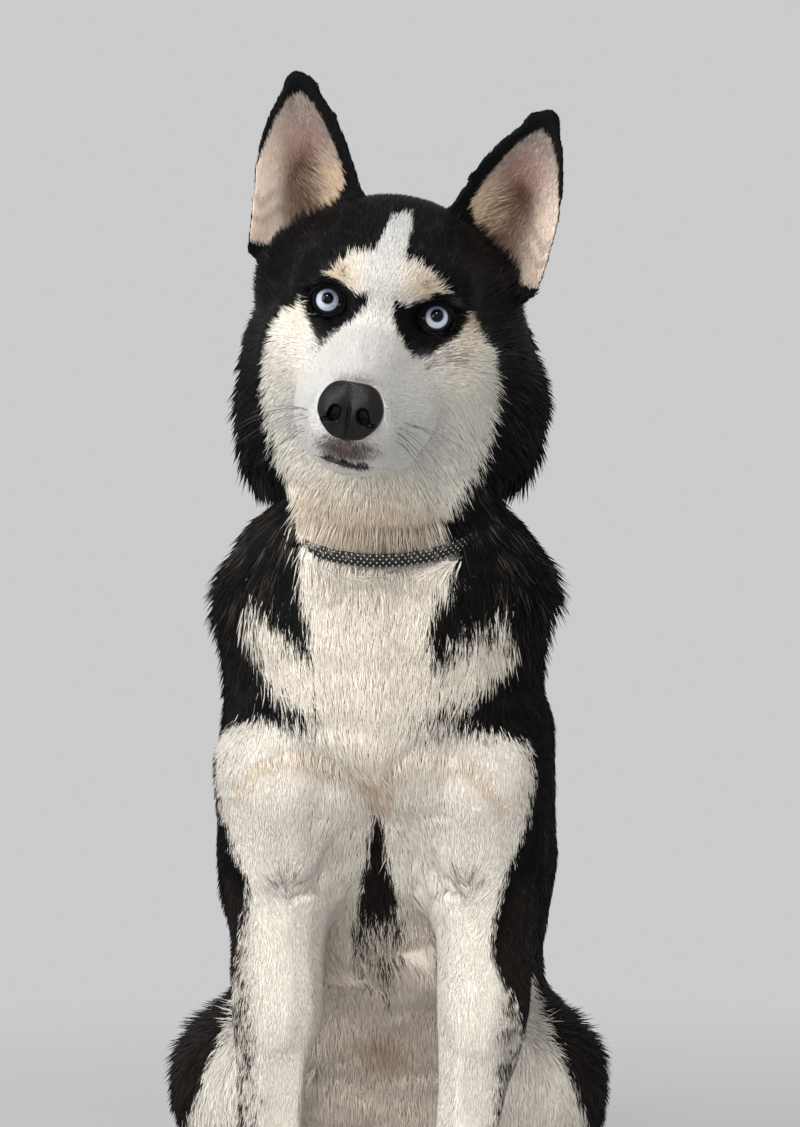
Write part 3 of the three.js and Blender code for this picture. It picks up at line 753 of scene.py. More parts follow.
def inside(places, outline_points, soft):
    """1 inside an outline and 0 outside, in front view, with an edge that takes about twice soft."""
    x, z = places[:, 0], places[:, 2]
    ring = outline_points + outline_points[:1]
    within = np.zeros(len(x), bool)
    for (ax, az), (bx, bz) in zip(ring, ring[1:]):
        within ^= ((az > z) != (bz > z)) & (x < ax + (z - az) * (bx - ax) / ((bz - az) or 1))
    nearest = off_line(places, ring)
    return ramp(np.where(within, nearest, -nearest), -soft, soft)

# %% Colours of the hair
def shade(red, green, blue):
    """A colour given as it looks, 0 to 255, as the light that it sends back."""
    c = np.array([red, green, blue]) / 255
    return np.where(c < 0.04045, c / 12.92, ((c + 0.055) / 1.055) ** 2.4)


WHITE = shade(223, 221, 216)
CHEEK = shade(242, 235, 222)
CREAM = shade(229, 220, 204)
BROW = shade(214, 196, 170)
# a tan, for tan hair and also as painted shade in the arm creases and under the jaw
SAND_AND_SHADE = shade(212, 188, 160)
LEG = shade(242, 234, 222)
BELLY = shade(232, 218, 202)
RUSSET = shade(176, 136, 112)
LIP_BROWN = shade(50, 38, 36)
LIP_PALE = shade(126, 108, 102)
NOSE_FRINGE = shade(70, 62, 62)
SMOKE = shade(104, 96, 98)
TICKED = shade(112, 100, 90)
SMUDGE = shade(128, 106, 92)
LINING = shade(196, 178, 164)
LINING_GREY = shade(120, 112, 107)
LINING_PINK = shade(186, 150, 138)
# brown skin deep in the ear, also used as painted shade in its hollow and folds
LINING_BROWN_AND_SHADE = shade(76, 49, 40)
LINING_CREAM = shade(206, 180, 150)
LOBE = shade(228, 208, 190)
CAP = shade(11, 11, 12)
# brown hair tips, also used as painted sheen on the black coat
BROWN_TIPS_AND_SHEEN = shade(78, 62, 50)
SADDLE = shade(11, 10, 10)
PEPPER = shade(58, 50, 46)


def mixed(first, second, part_of_second):
    w = np.clip(np.asarray(part_of_second, float), 0, 1)[..., None]
    return first * (1 - w) + second * w


def under_chin(head, body, low, high):
    """1 in front of the throat, from high millimetres below the eyes down."""
    return ramp(-head[:, 2], low, high) * ramp(-np.abs(head[:, 0] - 6), -58, -40) * ramp(-body[:, 1], -40, -10)


def over_outer_corners(head):
    """1 over the outer corner of each eye, where some dark hair grows."""
    return bumps(head, (1, (49, -3, 13), (8, 20, 3.5)), (1, (-48, -3, 11.5), (8, 20, 3.5)))

# %% Where the coat is pale
def pale_on_body(body, normals, shares, front):
    """How white the coat is behind the head: on the breast, belly and legs, on the thighs, and on the tail."""
    legs = shares[:, 5] + shares[:, 6] + shares[:, 7]
    low_leg = shares[:, 6] + shares[:, 7]
    ahead, behind, below = -normals[:, 1], -body[:, 1], -body[:, 2]
    out = np.abs(body[:, 0])
    breast_side = ramp(ahead + 0.6 * ramp(-out, -70, -50), 0.2, 0.55)
    underneath = ramp(-normals[:, 2], 0.15, 0.5) * ramp(below, -330, -280)
    underneath = np.maximum(underneath, ramp(below, -235, -205))
    facing = ramp(ahead, -0.45, 0.0) * legs + np.maximum(breast_side, underneath) * (1 - legs)
    facing = np.maximum(facing, np.maximum(ramp(low_leg, 0.3, 0.7), shares[:, 9]))
    facing = facing * np.maximum(ramp(behind, -190, -120), ramp(below, -170, -130))
    thigh_edge = 131 - 0.38 * np.clip(body[:, 2] - 95, 0, 200) + 30 * ramp(below, -75, -45)
    thigh_front = np.maximum(ramp(ahead + 1.2 * ramp(below, -80, -45), -0.15, 0.35), ramp(behind, -165, -135))
    groin = np.maximum(ramp(-out, -94, -80) * ramp(below, -150, -115), ramp(below, -75, -50))
    pale_thigh = np.maximum(ramp(thigh_edge - out, -5, 5) * thigh_front, groin * ramp(behind, -230, -180))
    tail_tip = ramp(behind, -400, -365) * ramp(body[:, 0], 120, 150)
    pale_tail = ramp(-normals[:, 2] + 1.4 * tail_tip, 0.25, 0.6)
    wedge_end = ramp(out, 50, 84) * ramp(body[:, 2], 372, 384) * ramp(below, -455, -440)
    return front * facing * (1 - 0.42 * wedge_end), pale_thigh, pale_tail

# %% Colours of the pale hair
def pale_body_colour(body, normals, shares, chance, front, ticking):
    ahead = -normals[:, 1]
    trunk, thigh = shares[:, 3], shares[:, 8]
    colour = mixed(LEG, CREAM, front * trunk * ramp(body[:, 2], 300, 400) * (0.7 + 0.3 * chance))
    creases = np.maximum(*(near_line(body, crease, CREASE_WIDE) for crease in ARM_CREASES))
    # tan along the arm creases and down the middle of the breast: partly tan hair, partly painted shade in the creases
    crease_shade_and_sand = 0.5 * creases * ramp(ahead, 0.1, 0.5) + 0.35 * bump_at(body, (-3, -60, 330), (8, 40, 14))
    colour = mixed(colour, SAND_AND_SHADE, crease_shade_and_sand)
    whorl = 0.7 * sum(bump_at(body, place, (9, 25, 5)) for place in ELBOW_WHORLS)
    for middle, _, low in ELBOW_WHORLS:
        for across, up in WHORL_RAYS:
            whorl = np.maximum(whorl, near_line(body, [(middle, low), (middle + across, low + up)], 1.3))
    whorl = whorl * ramp(ahead, 0, 0.3)
    colour = mixed(colour, SMOKE, 0.85 * whorl * ramp(chance, -0.4, 0.3))
    colour = mixed(colour, SMOKE, 0.8 * bump_at(body, (-6, 50, 214), (20, 40, 15)) * ramp(chance, -0.8, 0.4))
    colour = mixed(colour, TICKED, 1.1 * ticking * ramp(chance, -0.7, 0.3))
    deep = ramp(body[:, 1], 10, 60) * ramp(-body[:, 2], -290, -220) * (trunk + thigh * 0.4)
    colour = mixed(colour, BELLY, 0.75 * deep * ramp(-np.abs(body[:, 0]), -75, -45))
    return mixed(colour, RUSSET, 0.7 * bump_at(body, (-2, 110, 146), (12, 60, 10)) * trunk)


def pale_head_colour(head, body, chance):
    x, y, z = head.T
    on_muzzle = np.maximum(ramp(-y, -12, 50), bump_at(both(head), (38, 0, -70), (14, 40, 14)))
    colour = mixed(CHEEK, WHITE, np.maximum(on_muzzle, ramp(-np.abs(x), -14, -8) * ramp(z, -10, 5)))
    over_nose = bump_at(head, NOSE_TIP + (0, 0, 16.0), (11, 14, 2.8))
    colour = mixed(colour, NOSE_FRINGE, 0.95 * over_nose * ramp(chance, -0.9, 0.1))
    colour = mixed(colour, BROW, bumps(head, (1, (25, -15, 18), (10, 30, 8)), (1, (-27, -15, 17), (11, 30, 8))))
    outer_corner = bumps(head, (1, (53, 4, 0), (6, 20, 9)), (0.4, (-49, -3, -10), (4, 20, 9)))
    # tan at the outer eye corners; under the jaw, partly tan hair and partly painted shade
    colour = mixed(colour, SAND_AND_SHADE, 0.7 * outer_corner + 0.6 * under_chin(head, body, 98, 122))
    streaks = bump_at(head, (47, -5, -20), (8, 20, 6)) * ramp(chance, -0.6, 0.3)
    corners_dark = 0.8 * over_outer_corners(head) * ramp(chance, -0.9, 0.1)
    colour = mixed(colour, SMUDGE, 0.85 * streaks + corners_dark)
    chin = bump_at(head, (0, -96, -75.5), (13.5, 14, 6))
    mouth = near_line(head, MOUTH, 2.0) * ramp(-y, 60, 75) * ramp(-np.abs(x), -16, -10)
    lip = mixed(LIP_BROWN, LIP_PALE, 0.45 + 0.7 * chance)
    colour = mixed(colour, lip, 0.95 * ramp(chin + 0.3 * chance, 0.25, 0.7))
    return mixed(colour, LIP_BROWN * 0.5, ramp(mouth + 0.35 * chance, 0.35, 0.75))


def ear_lining_colour(head, chance):
    """Grey near the tip, with a pink hollow that is brown and painted darker with shade deep down, painted shade in
    the folds, cream at the inner edge and pale at the outer one.
    """
    folded, z = both(head), head[:, 2]
    colour = mixed(LINING, LINING_GREY, ramp(z, 66, 96) * (0.8 + 0.5 * chance))
    smoky_tip = 0.6 * ramp(z, 70, 88) * ramp(chance, 0.35, 0.85)
    smoky_edge = 0.5 * bump_at(folded, (56, 66, 88), (9, 30, 14)) * ramp(chance, -0.2, 0.5)
    colour = mixed(colour, SMOKE, smoky_tip + smoky_edge)
    colour = mixed(colour, LINING_PINK, 0.9 * bump_at(folded, (68, 66, 80), (9, 30, 15)))
    hollow = bumps(folded, (1, (65, 66, 66), (8, 30, 18)), (1, (60, 66, 50), (10, 30, 12)))
    hollow = np.clip(hollow + 1.2 * bump_at(head, (60, 66, 50), (11, 30, 18)), 0, 1)
    # the ear's hollow: brown skin, darkened further with painted shade
    colour = mixed(colour, LINING_BROWN_AND_SHADE, hollow)
    inner_edge = 0.9 * bump_at(folded, (42, 64, 66), (10, 30, 13)) * (0.8 + 0.3 * chance)
    cream_hairs = 0.6 * ramp(chance, 0.2, 0.7) * ramp(-z, -90, -60) * (1 - 0.7 * hollow)
    colour = mixed(colour, LINING_CREAM, inner_edge + cream_hairs)
    outer_edge = bumps(folded, (1, (86, 55, 44), (10, 30, 14)), (0.7, (87, 58, 75), (6, 30, 22)))
    colour = mixed(colour, LOBE, 0.95 * outer_edge)
    # dark lines along the folds: painted shade
    folds = near_line(folded, EAR_FOLDS[0], 1.6) + near_line(folded, EAR_FOLDS[1], 1.6)
    return mixed(colour, LINING_BROWN_AND_SHADE, 0.35 * folds)

# %% The colour at any place
def markings(head, body, normals, shares, chance):
    """The colour at each place. Chance is one number from -1 to 1 for each, which frays the edges."""
    shares = np.asarray(shares)
    ear, neck, trunk, tail = shares[:, 1], shares[:, 2], shares[:, 3], shares[:, 4]
    legs = shares[:, 5] + shares[:, 6] + shares[:, 7]
    thigh, hind = shares[:, 8], shares[:, 9]
    on_the_head = shares[:, 0] + neck * ramp(body[:, 2], 500, 525)
    x, y, z = head.T

    # where the coat is pale
    face = inside(head, FACE, 3.2) * ramp(-y, -56, -34)
    pale_head = np.maximum(face, under_chin(head, body, 84, 100))
    front = inside(body, BREAST, 7.0)
    pale_front, pale_thigh, pale_tail = pale_on_body(body, normals, shares, front)
    pale = pale_front * (1 - on_the_head) + pale_head * on_the_head
    pale = pale * (1 - thigh - tail - hind) + pale_thigh * thigh + pale_tail * tail + hind

    # where dark hair grows in it
    below_eye = ramp(-z, 8, 20)
    patches = np.maximum(inside(head, EYE_PATCH_LEFT, 3.0), inside(head, EYE_PATCH_RIGHT, 3.0))
    patches = patches * (1 - 0.25 * below_eye)
    smudge = bumps(head, (0.34, (-32, -10, -27), (8, 20, 6)), (0.36, (33, -15, -25), (9, 20, 5)),
                   (0.5, (34, 0, -77), (3.5, 24, 3))) + 0.42 * over_outer_corners(head)
    sternum = inside(body, BREASTBONE, 5.0) * ramp(-normals[:, 1], -0.2, 0.3)
    sternum = sternum * (0.32 + 0.65 * ramp(body[:, 2], 205, 262))
    out, leg_edge = np.abs(body[:, 0]), 76 + 0.10 * (body[:, 2] - 160) - 3 * (body[:, 0] > 0)
    ticking = 0.52 * ramp(out, leg_edge - 14, leg_edge + 4) * ramp(body[:, 2], 40, 130)
    ticking = ticking * ramp(-body[:, 2], -290, -250) * legs
    dark = np.maximum(1 - pale, (patches + smudge) * on_the_head * ramp(-y, -30, -12))
    dark = np.maximum(dark, np.maximum(sternum * (1 - legs * 0.6), 0.62 * ticking))
    fray = 0.45 + 0.2 * (1 - on_the_head) + 0.3 * ramp(ticking, 0.1, 0.5) + 0.12 * below_eye * patches * on_the_head
    at_edge = 1 - (2 * np.clip(dark, 0, 1) - 1) ** 2
    dark = ramp(dark + chance * fray * at_edge, 0.40, 0.60)

    # jet on the shoulders and saddle, softer on the cap, peppered low on the flanks; grey strands on the head are
    # painted sheen, and brown strands on the neck and trunk are partly brown tips and partly painted sheen
    pepper = ramp(-body[:, 2], -260, -190) * (trunk + thigh + legs) + ramp(ticking, 0.1, 0.4)
    pepper = pepper + 0.5 * ramp(sternum, 0.1, 0.5)
    grizzled = bump_at(both(body), (84, -10, 455), (22, 60, 26)) * ramp(chance, 0.3, 0.8)
    black = mixed(SADDLE, CAP, on_the_head)
    black = mixed(black, PEPPER, 0.5 * np.clip(pepper, 0, 1) * (0.6 + 0.4 * chance))
    # brown strands: partly brown hair tips, partly painted sheen
    black = mixed(black, BROWN_TIPS_AND_SHEEN, 0.45 * ramp(chance, 0.45, 0.9) * (neck + 0.5 * trunk))
    # grey strands on the head: painted sheen
    black = mixed(black, SMOKE, 0.22 * ramp(chance, 0.4, 0.9) * on_the_head)
    black = mixed(black, TICKED, 0.45 * grizzled)
    black = mixed(black, SMOKE, 0.5 * ramp(smudge, 0.05, 0.3) * on_the_head * face)

    colour = pale_body_colour(body, normals, shares, chance, front, ticking)
    colour = mixed(colour, pale_head_colour(head, body, chance), on_the_head)
    colour = mixed(colour, black, dark)
    lining = inside(both(head), EAR_LINING, 1.8) * ramp(-(normals @ HEAD_AXES[:, 1]), 0.05, 0.35)
    in_ear = mixed(CAP * 0.8, ear_lining_colour(head, chance), ramp(lining + 0.25 * chance, 0.35, 0.65))
    return mixed(colour, in_ear, ramp(ear, 0.5, 0.8))


skin_colour = markings(Hd, Bd, top_normals, share, np.zeros(len(Bd)))
print("markings reach", len(skin_colour), "skin points")

# %% [markdown]
# ## The skin as a piece
# The skin takes its colours from a colour attribute, with fine noise for pores and fluff. It is unwrapped here,
# before the hair, because each tuft's own patch on the bake map sits where the tuft grows from.

# %% Skin material, map and piece
def set_colours(mesh, colours):
    layer = mesh.color_attributes.new("hair_colour", "FLOAT_COLOR", "POINT")
    layer.data.foreach_set("color", np.hstack([colours, np.ones((len(colours), 1))]).astype(np.float32).ravel())


def fur_finish(name, rough, bump):
    hair = Finish(name)
    colour = hair.add("ShaderNodeAttribute", {"attribute_name": "hair_colour"}, {}, "Color")
    fluff = hair.noise(1100.0, 2.0)
    tint = hair.vector("MULTIPLY", colour, hair.mix(fluff, (0.88, 0.88, 0.88), (1.12, 1.12, 1.12)))
    normal = hair.bump(fluff, bump, 0.0004)
    return hair.surface(Base_Color=tint, Roughness=rough, Normal=normal, Specular_IOR_Level=0.12)


def unwrapped(made):
    made.data.uv_layers.new(name="OFBake")
    bpy.context.view_layer.objects.active = made
    made.select_set(True)
    bpy.ops.object.mode_set(mode="EDIT")
    bpy.ops.mesh.select_all(action="SELECT")
    bpy.ops.uv.smart_project(angle_limit=math.radians(70), island_margin=0.003)
    bpy.ops.object.mode_set(mode="OBJECT")
    made.select_set(False)


set_colours(skin_mesh, skin_colour)
skin = shown("skin", skin_mesh)
unwrapped(skin)
skin_mesh = skin.data
skin_mesh.shade_smooth()
skin_mesh.materials.append(fur_finish("short_fluff", 0.8, 0.4))
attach(skin, "root")
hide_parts(*FLESH)

# %% [markdown]
# ## Eyeballs
# An eye is a ball with a flatter clear dome in front of the iris. A real one has a clear cornea over a painted
# bowl. Here the dome carries the iris itself under a thin clear coat, which survives being saved for others.
# The balls are turned on a lathe of rings round the gaze, and a map round the gaze says where the pupil is.

# %% Eyeball meshes
CORNEA_EDGE = math.radians(37)
CORNEA_RISE = 1.0
EYE_SPOKES = 64


def lathe_faces(rings, spokes, closed_ends=True):
    """Quads between rings of points, for a mesh whose points go ring by ring."""
    faces = [(r * spokes + s, r * spokes + (s + 1) % spokes, (r + 1) * spokes + (s + 1) % spokes, (r + 1) * spokes + s)
             for r in range(rings - 1) for s in range(spokes)]
    if closed_ends:
        faces.append(tuple(range(spokes - 1, -1, -1)))
        faces.append(tuple((rings - 1) * spokes + s for s in range(spokes)))
    return faces


def made_piece(name, points, faces, material, slot, outwards=True):
    """A named mesh object on the root body, with its material. The slot it is given is not used."""
    mesh = bpy.data.meshes.new(name)
    mesh.from_pydata([tuple(p) for p in points], [], faces)
    if outwards:
        shell = bmesh.new()
        shell.from_mesh(mesh)
        bmesh.ops.recalc_face_normals(shell, faces=shell.faces)
        shell.to_mesh(mesh)
        shell.free()
    mesh.shade_smooth()
    mesh.materials.append(material)
    piece = shown(name, mesh)
    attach(piece, "root")
    return piece


def mottled(name, grain, dark, pale, rough, bump=(), detail=3.0, streaked=False):
    """A finish of two shades in noise of this grain, which may also give the bump its strength and depth."""
    finish = Finish(name)
    noise = finish.noise(grain, detail)
    colour = finish.mix(noise.ramp(0.35, 0.7) if streaked else noise, shade(*dark), shade(*pale))
    relief = {"Normal": finish.bump(noise, *bump)} if bump else {}
    return finish.surface(Base_Color=colour, Roughness=rough, **relief)


def eyeball(eye, material):
    tilt = np.concatenate([np.linspace(0.01, 0.8, 44), np.linspace(0.86, math.pi - 0.02, 22)])
    round_about = np.linspace(0, 2 * math.pi, EYE_SPOKES, endpoint=False)
    c, s = np.cos(round_about), np.sin(round_about)
    bulge = CORNEA_RISE * np.cos(np.minimum(tilt / CORNEA_EDGE, 1) * math.pi / 2) ** 1.5
    radius = (EYE_RADIUS + bulge)[:, None]
    away, up = (radius * np.sin(tilt)[:, None] * part_way for part_way in (c, s))
    points = eye.placed(away, radius * np.cos(tilt)[:, None] + 0 * away, up).reshape(-1, 3)
    piece = made_piece("eyeball_" + eye.name, points, lathe_faces(len(tilt), EYE_SPOKES), material, "eye")
    from_gaze = np.minimum(tilt / (math.pi / 2), 1)[:, None]
    flat = np.stack([0.5 + 0.5 * from_gaze * c, 0.5 + 0.5 * from_gaze * s], -1).reshape(-1, 2)
    set_map(piece.data, "gaze", flat[fetched(piece.data.loops, "vertex_index", 1, np.int32)[:, 0]])
    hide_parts("eye_" + eye.name)

# %% Iris finish
IRIS_EDGE = 0.415
PUPIL_RISE = 0.06
IRIS_PALE, IRIS_DEEP, IRIS_RIM = shade(200, 208, 220), shade(148, 158, 178), shade(30, 34, 44)
# the first two of these are painted light on the lower iris and the upper lid's painted shadow on its top
IRIS_PAINTED_LIGHT, IRIS_PAINTED_LID_SHADOW, IRIS_INNER = shade(214, 220, 232), shade(62, 68, 88), shade(70, 78, 108)
BALL_DARK, PUPIL = shade(24, 20, 21), (0.002, 0.002, 0.004)


def iris_finish(name, pupil):
    eye = Finish(name)
    place = eye.vector("SUBTRACT", eye.add("ShaderNodeUVMap", {"uv_map": "gaze"}), (0.5, 0.5, 0))
    place = eye.vector("MULTIPLY", place, (2, 2, 0))
    out = eye.vector("LENGTH", place, out=1)
    from_pupil = eye.vector("LENGTH", eye.vector("SUBTRACT", place, (0, PUPIL_RISE, 0)), out=1)
    height = eye.add("ShaderNodeSeparateXYZ", {}, {0: place}, 1)
    spoke = eye.vector("MULTIPLY", eye.vector("NORMALIZE", place), (9, 9, 0))
    fibres = eye.noise(1.6, 5.0, 0.7, eye.vector("ADD", spoke, eye.vector("MULTIPLY", place, (2.2, 2.2, 0))))
    colour = eye.mix(fibres.ramp(0.36, 0.66), IRIS_DEEP, IRIS_PALE)
    # painted light on the lower iris, then the upper lid's painted shadow over its top
    for share, over in (((1 - height.ramp(-0.34, 0.22)) * 0.5, IRIS_PAINTED_LIGHT),
                        (height.ramp(0.06, 0.37) * 0.72, IRIS_PAINTED_LID_SHADOW),
                        ((1 - from_pupil.ramp(pupil, pupil + 0.07)) * 0.75, IRIS_INNER),
                        (out.ramp(IRIS_EDGE - 0.055, IRIS_EDGE), IRIS_RIM),
                        (out.ramp(IRIS_EDGE + 0.01, IRIS_EDGE + 0.05), BALL_DARK),
                        (1 - from_pupil.ramp(pupil - 0.012, pupil + 0.012), PUPIL)):
        colour = eye.mix(share, colour, over)
    return eye.surface(Base_Color=colour, Roughness=0.5, Specular_IOR_Level=0.0, Coat_Weight=1.0,
                       Coat_Roughness=0.03, Coat_IOR=1.3)


eyeball(EYES[0], iris_finish("iris_left", 0.205))
eyeball(EYES[1], iris_finish("iris_right", 0.185))
print("two eyeballs made")

# %% [markdown]
# ## Lids
# The lids are bare near black skin, tight on the ball, with a thick wet edge. Each pair is one ring of skin that
# starts behind the ball's surface, rolls over the edge, follows the dome, and dives under the face's own skin.
# It is laid ring by ring from the opening's outline, so that no gap can show between lid and ball.

# %% Lids
LID_SPOKES = 72
LID_ROWS = ((1.0, -0.6), (1.0, 0.15), (1.02, 0.6), (1.06, 0.95), (1.11, 1.2), (1.17, 1.4))   # size, height on ball
HIDDEN_ROWS = ((1.25, 0.6), (1.40, 2.4))                                                     # size, depth in the coat


def coat_forward(eye, away, up):
    """How far forward the outside of the coat lies in front of an eye."""
    start = eye.placed(away, 60 + 0 * away, up)
    hits = [outline_tree.ray_cast(Vector(p), Vector(-eye.forward))[0] for p in start]
    return eye.local(np.array(hits))[1]


lid = Finish("lid_skin")
edge = lid.add("ShaderNodeSeparateXYZ", {}, {0: lid.add("ShaderNodeUVMap", {"uv_map": "rows"})}, 1)
creases = lid.noise(900.0, 3.0)
lid_material = lid.surface(Base_Color=lid.mix(creases, shade(6, 5, 6), shade(17, 15, 16)), Specular_IOR_Level=0.15,
                           Roughness=edge.ramp(0.1, 0.5) * 0.4 + 0.32, Normal=lid.bump(creases, 0.35, 0.0003))


def lids(eye):
    away, up = eye.opening(np.linspace(0, 2 * math.pi, LID_SPOKES, endpoint=False))
    rows = []
    for size, height in LID_ROWS:
        a, u = away * size, up * size
        rows.append(eye.placed(a, np.sqrt(np.maximum((EYE_RADIUS + height) ** 2 - a ** 2 - u ** 2, 1)), u))
    for size, under in HIDDEN_ROWS:
        a, u = away * size, up * size
        rows.append(eye.placed(a, coat_forward(eye, a, u) - under, u))
    piece = made_piece("lids_" + eye.name, np.concatenate(rows), lathe_faces(len(rows), LID_SPOKES, False),
                       lid_material, "nose_leather", outwards=False)
    if np.mean([face.normal @ Vector(eye.forward) for face in piece.data.polygons]) < 0:
        piece.data.flip_normals()
    at = fetched(piece.data.loops, "vertex_index", 1, np.int32)[:, 0]
    set_map(piece.data, "rows", np.stack([at % LID_SPOKES / LID_SPOKES, at // LID_SPOKES / (len(rows) - 1)], 1))


for eye in EYES:
    lids(eye)

# %% Tear corners
tear_material = mottled("tear_corner", 700.0, (36, 28, 28), (84, 72, 70), 0.25)
for eye in EYES:
    away, up = (float(v[0]) * 0.86 for v in eye.opening(np.array([math.pi])))
    ball = bmesh.new()
    bmesh.ops.create_icosphere(ball, subdivisions=3, radius=1.0)
    stretched = np.array([v.co for v in ball.verts]) * [2.0, 0.8, 1.1]
    faces = [[v.index for v in face.verts] for face in ball.faces]
    ball.free()
    depth_there = math.sqrt((EYE_RADIUS - 0.1) ** 2 - away ** 2 - up ** 2)
    made_piece("tear_corner_" + eye.name, eye.placed(*(stretched + [away, depth_there, up]).T), faces, tear_material,
               "nose_leather")
print("lids and tear corners made")

# %% [markdown]
# ## Nose leather
# The nose is bare pebbled leather: a broad top, two wings, a groove down the middle, and comma-shaped nostrils
# that run out to the sides. It could be sculpted by hand. A grid of rings round the middle, pushed in and out by
# a few named hollows and swellings, gives the same shape and stays easy to mend.

# %% Nose shape
NOSE_MIDDLE = np.array([0.0, -103.5, -52.5])
NOSE_OUTLINE = [(0, 14.6), (8, 14.2), (13.5, 11), (17, 4.5), (17.5, -1.5), (15.5, -7), (12, -11.5), (7.5, -15),
                (0, -16.5)]
NOSTRIL = [(7.6, -1.4), (8.3, -3.6), (10.8, -6.0), (13.8, -6.9), (16.6, -5.6)]     # from the hole out along the slit
NOSTRIL_WIDE = [3.5, 3.6, 1.8, 1.2, 0.8]
NOSTRIL_DEEP = [7.0, 7.0, 3.5, 2.2, 0.8]
NOSE_SPOKES, NOSE_RINGS = 192, 72
NOSE_BACK = ((1.03, 1.5), (1.04, 4.0), (1.0, 8.0), (0.9, 12.0))                    # size, and how far behind the rim


def smooth_line(points, count):
    """Points at even steps along a smooth line through the given ones."""
    p = np.array(points, float)
    p = np.vstack([2 * p[0] - p[1], p, 2 * p[-1] - p[-2]])
    t = np.linspace(0, 1, 24, endpoint=False)[:, None]
    parts = [0.5 * (2 * b + (c - a) * t + (2 * a - 5 * b + 4 * c - d) * t ** 2 + (3 * b - a - 3 * c + d) * t ** 3)
             for a, b, c, d in zip(p, p[1:], p[2:], p[3:])]
    line = np.vstack(parts + [p[-2:-1]])
    gone = np.concatenate([[0], np.cumsum(np.linalg.norm(np.diff(line, axis=0), axis=1))])
    steps = np.linspace(0, gone[-1], count)
    return np.stack([np.interp(steps, gone, line[:, i]) for i in range(line.shape[1])], 1)


def hill(*offsets):
    """1 where every offset is 0, and falling away with them."""
    return np.exp(-0.5 * sum(off ** 2 for off in offsets))


def nose_relief(x, z):
    """How far the nose stands forward, at places across and up from its middle."""
    out = np.abs(x)
    forward = 11.0 * np.sqrt(np.clip(1 - (x / 21.5) ** 2 - ((z + 1.5) / 20.5) ** 2, 0, 1))
    forward = forward + 1.5 * hill((out - 10.5) / 4.5, (z - 1.5) / 6.0)             # wings
    forward = forward - 0.9 * hill(x / 2.6, (z - 9) / 7.0)                          # dip on top
    forward = forward - 1.5 * hill(x / 0.75) * ramp(-z, -5, 1)                      # groove
    forward = forward - 0.8 * hill((out - 5.5) / 2.6, (z + 9.5) / 3.5)              # under the nostrils
    hollow = np.zeros_like(forward)
    for px, pz, wide, deep in smooth_line(np.column_stack([NOSTRIL, NOSTRIL_WIDE, NOSTRIL_DEEP]), 40):
        off = np.hypot(out - px, z - pz) / wide
        hollow = np.maximum(hollow, deep * (1 - ramp(off, 0.55, 1.12)))
    return forward + 0.9 * hill((out - 12.5) / 3.0, (z + 3.2) / 1.6) - hollow       # a lip over the slit


half = smooth_line(NOSE_OUTLINE, NOSE_SPOKES // 2 + 1)
rim = np.vstack([half, half[-2:0:-1] * [-1, 1]])
rows = []
for size in np.linspace(0.004, 1.0, NOSE_RINGS) ** 0.9:
    x, z = rim[:, 0] * size, rim[:, 1] * size
    rows.append(np.stack([x, -nose_relief(x, z), z], 1))
for size, back in NOSE_BACK:
    rows.append(np.stack([rim[:, 0] * size, -nose_relief(*rim.T) + back, rim[:, 1] * size], 1))
nose_points = from_head(np.concatenate(rows) + NOSE_MIDDLE)

# %% Nose finish and piece
DARK_LEATHER, PALE_LEATHER = shade(8, 6, 6), shade(24, 17, 16)
leather = Finish("nose_leather_pebbled")
pebbles = leather.add("ShaderNodeTexVoronoi", {"feature": "DISTANCE_TO_EDGE"},
                      {"Vector": leather.where(), "Scale": 850.0})
pebbled = pebbles.ramp(0.0, 0.22)
blotches = leather.noise(160.0, 3.0)
leather_colour = leather.mix(blotches.ramp(0.35, 0.7), DARK_LEATHER, PALE_LEATHER)
# darker toward the edges of the pebbles: painted shade in the grooves between them
leather_colour = leather.mix((1 - pebbled) * 0.5, leather_colour, DARK_LEATHER)
leather_material = leather.surface(
    Base_Color=leather_colour, Roughness=0.27 + blotches * 0.14, Specular_IOR_Level=0.26,
    Normal=leather.bump(pebbled, 0.25, 0.0003))
nose = made_piece("nose_leather", nose_points, lathe_faces(len(rows), NOSE_SPOKES), leather_material, "nose_leather")
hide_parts("nose")
print("nose:", len(nose.data.polygons), "faces")

# %% [markdown]
# ## Lips and whiskers
# The mouth is shut. What shows is a dark line with a moist edge, deepest under the nose. A flattened cord laid
# along it on the muzzle makes that edge, and hair falls over most of it. Whiskers are stiff tapered hairs, each
# rooted just inside the coat on the side of the muzzle.

# %% Tapered cords
def cord_mesh(path, radii, sides, flat=1.0, down=(0, 0, 1)):
    """Points and faces of a closed cord round a path, its section flattened across down."""
    path = np.asarray(path)
    along = unit(np.gradient(path, axis=0))
    first = unit(np.cross(along, down))
    second = np.cross(first, along)
    turns = np.linspace(0, 2 * math.pi, sides, endpoint=False)
    ring = first[:, None] * np.cos(turns)[None, :, None] + flat * second[:, None] * np.sin(turns)[None, :, None]
    points = path[:, None] + ring * (np.asarray(radii) * MM)[:, None, None]
    return points.reshape(-1, 3), lathe_faces(len(path), sides)


def joined(parts):
    """Several point-and-face lists as one."""
    points, faces, count = [], [], 0
    for p, f in parts:
        points.append(p)
        faces += [tuple(i + count for i in face) for face in f]
        count += len(p)
    return np.concatenate(points), faces


def face_place(across, up):
    """The coat's outside in front of a place on the face, in the head's millimetres."""
    start, ahead = from_head([across, -200, up]), Vector(HEAD_AXES[:, 1])
    return on_head(outline_tree.ray_cast(Vector(start), ahead)[0])

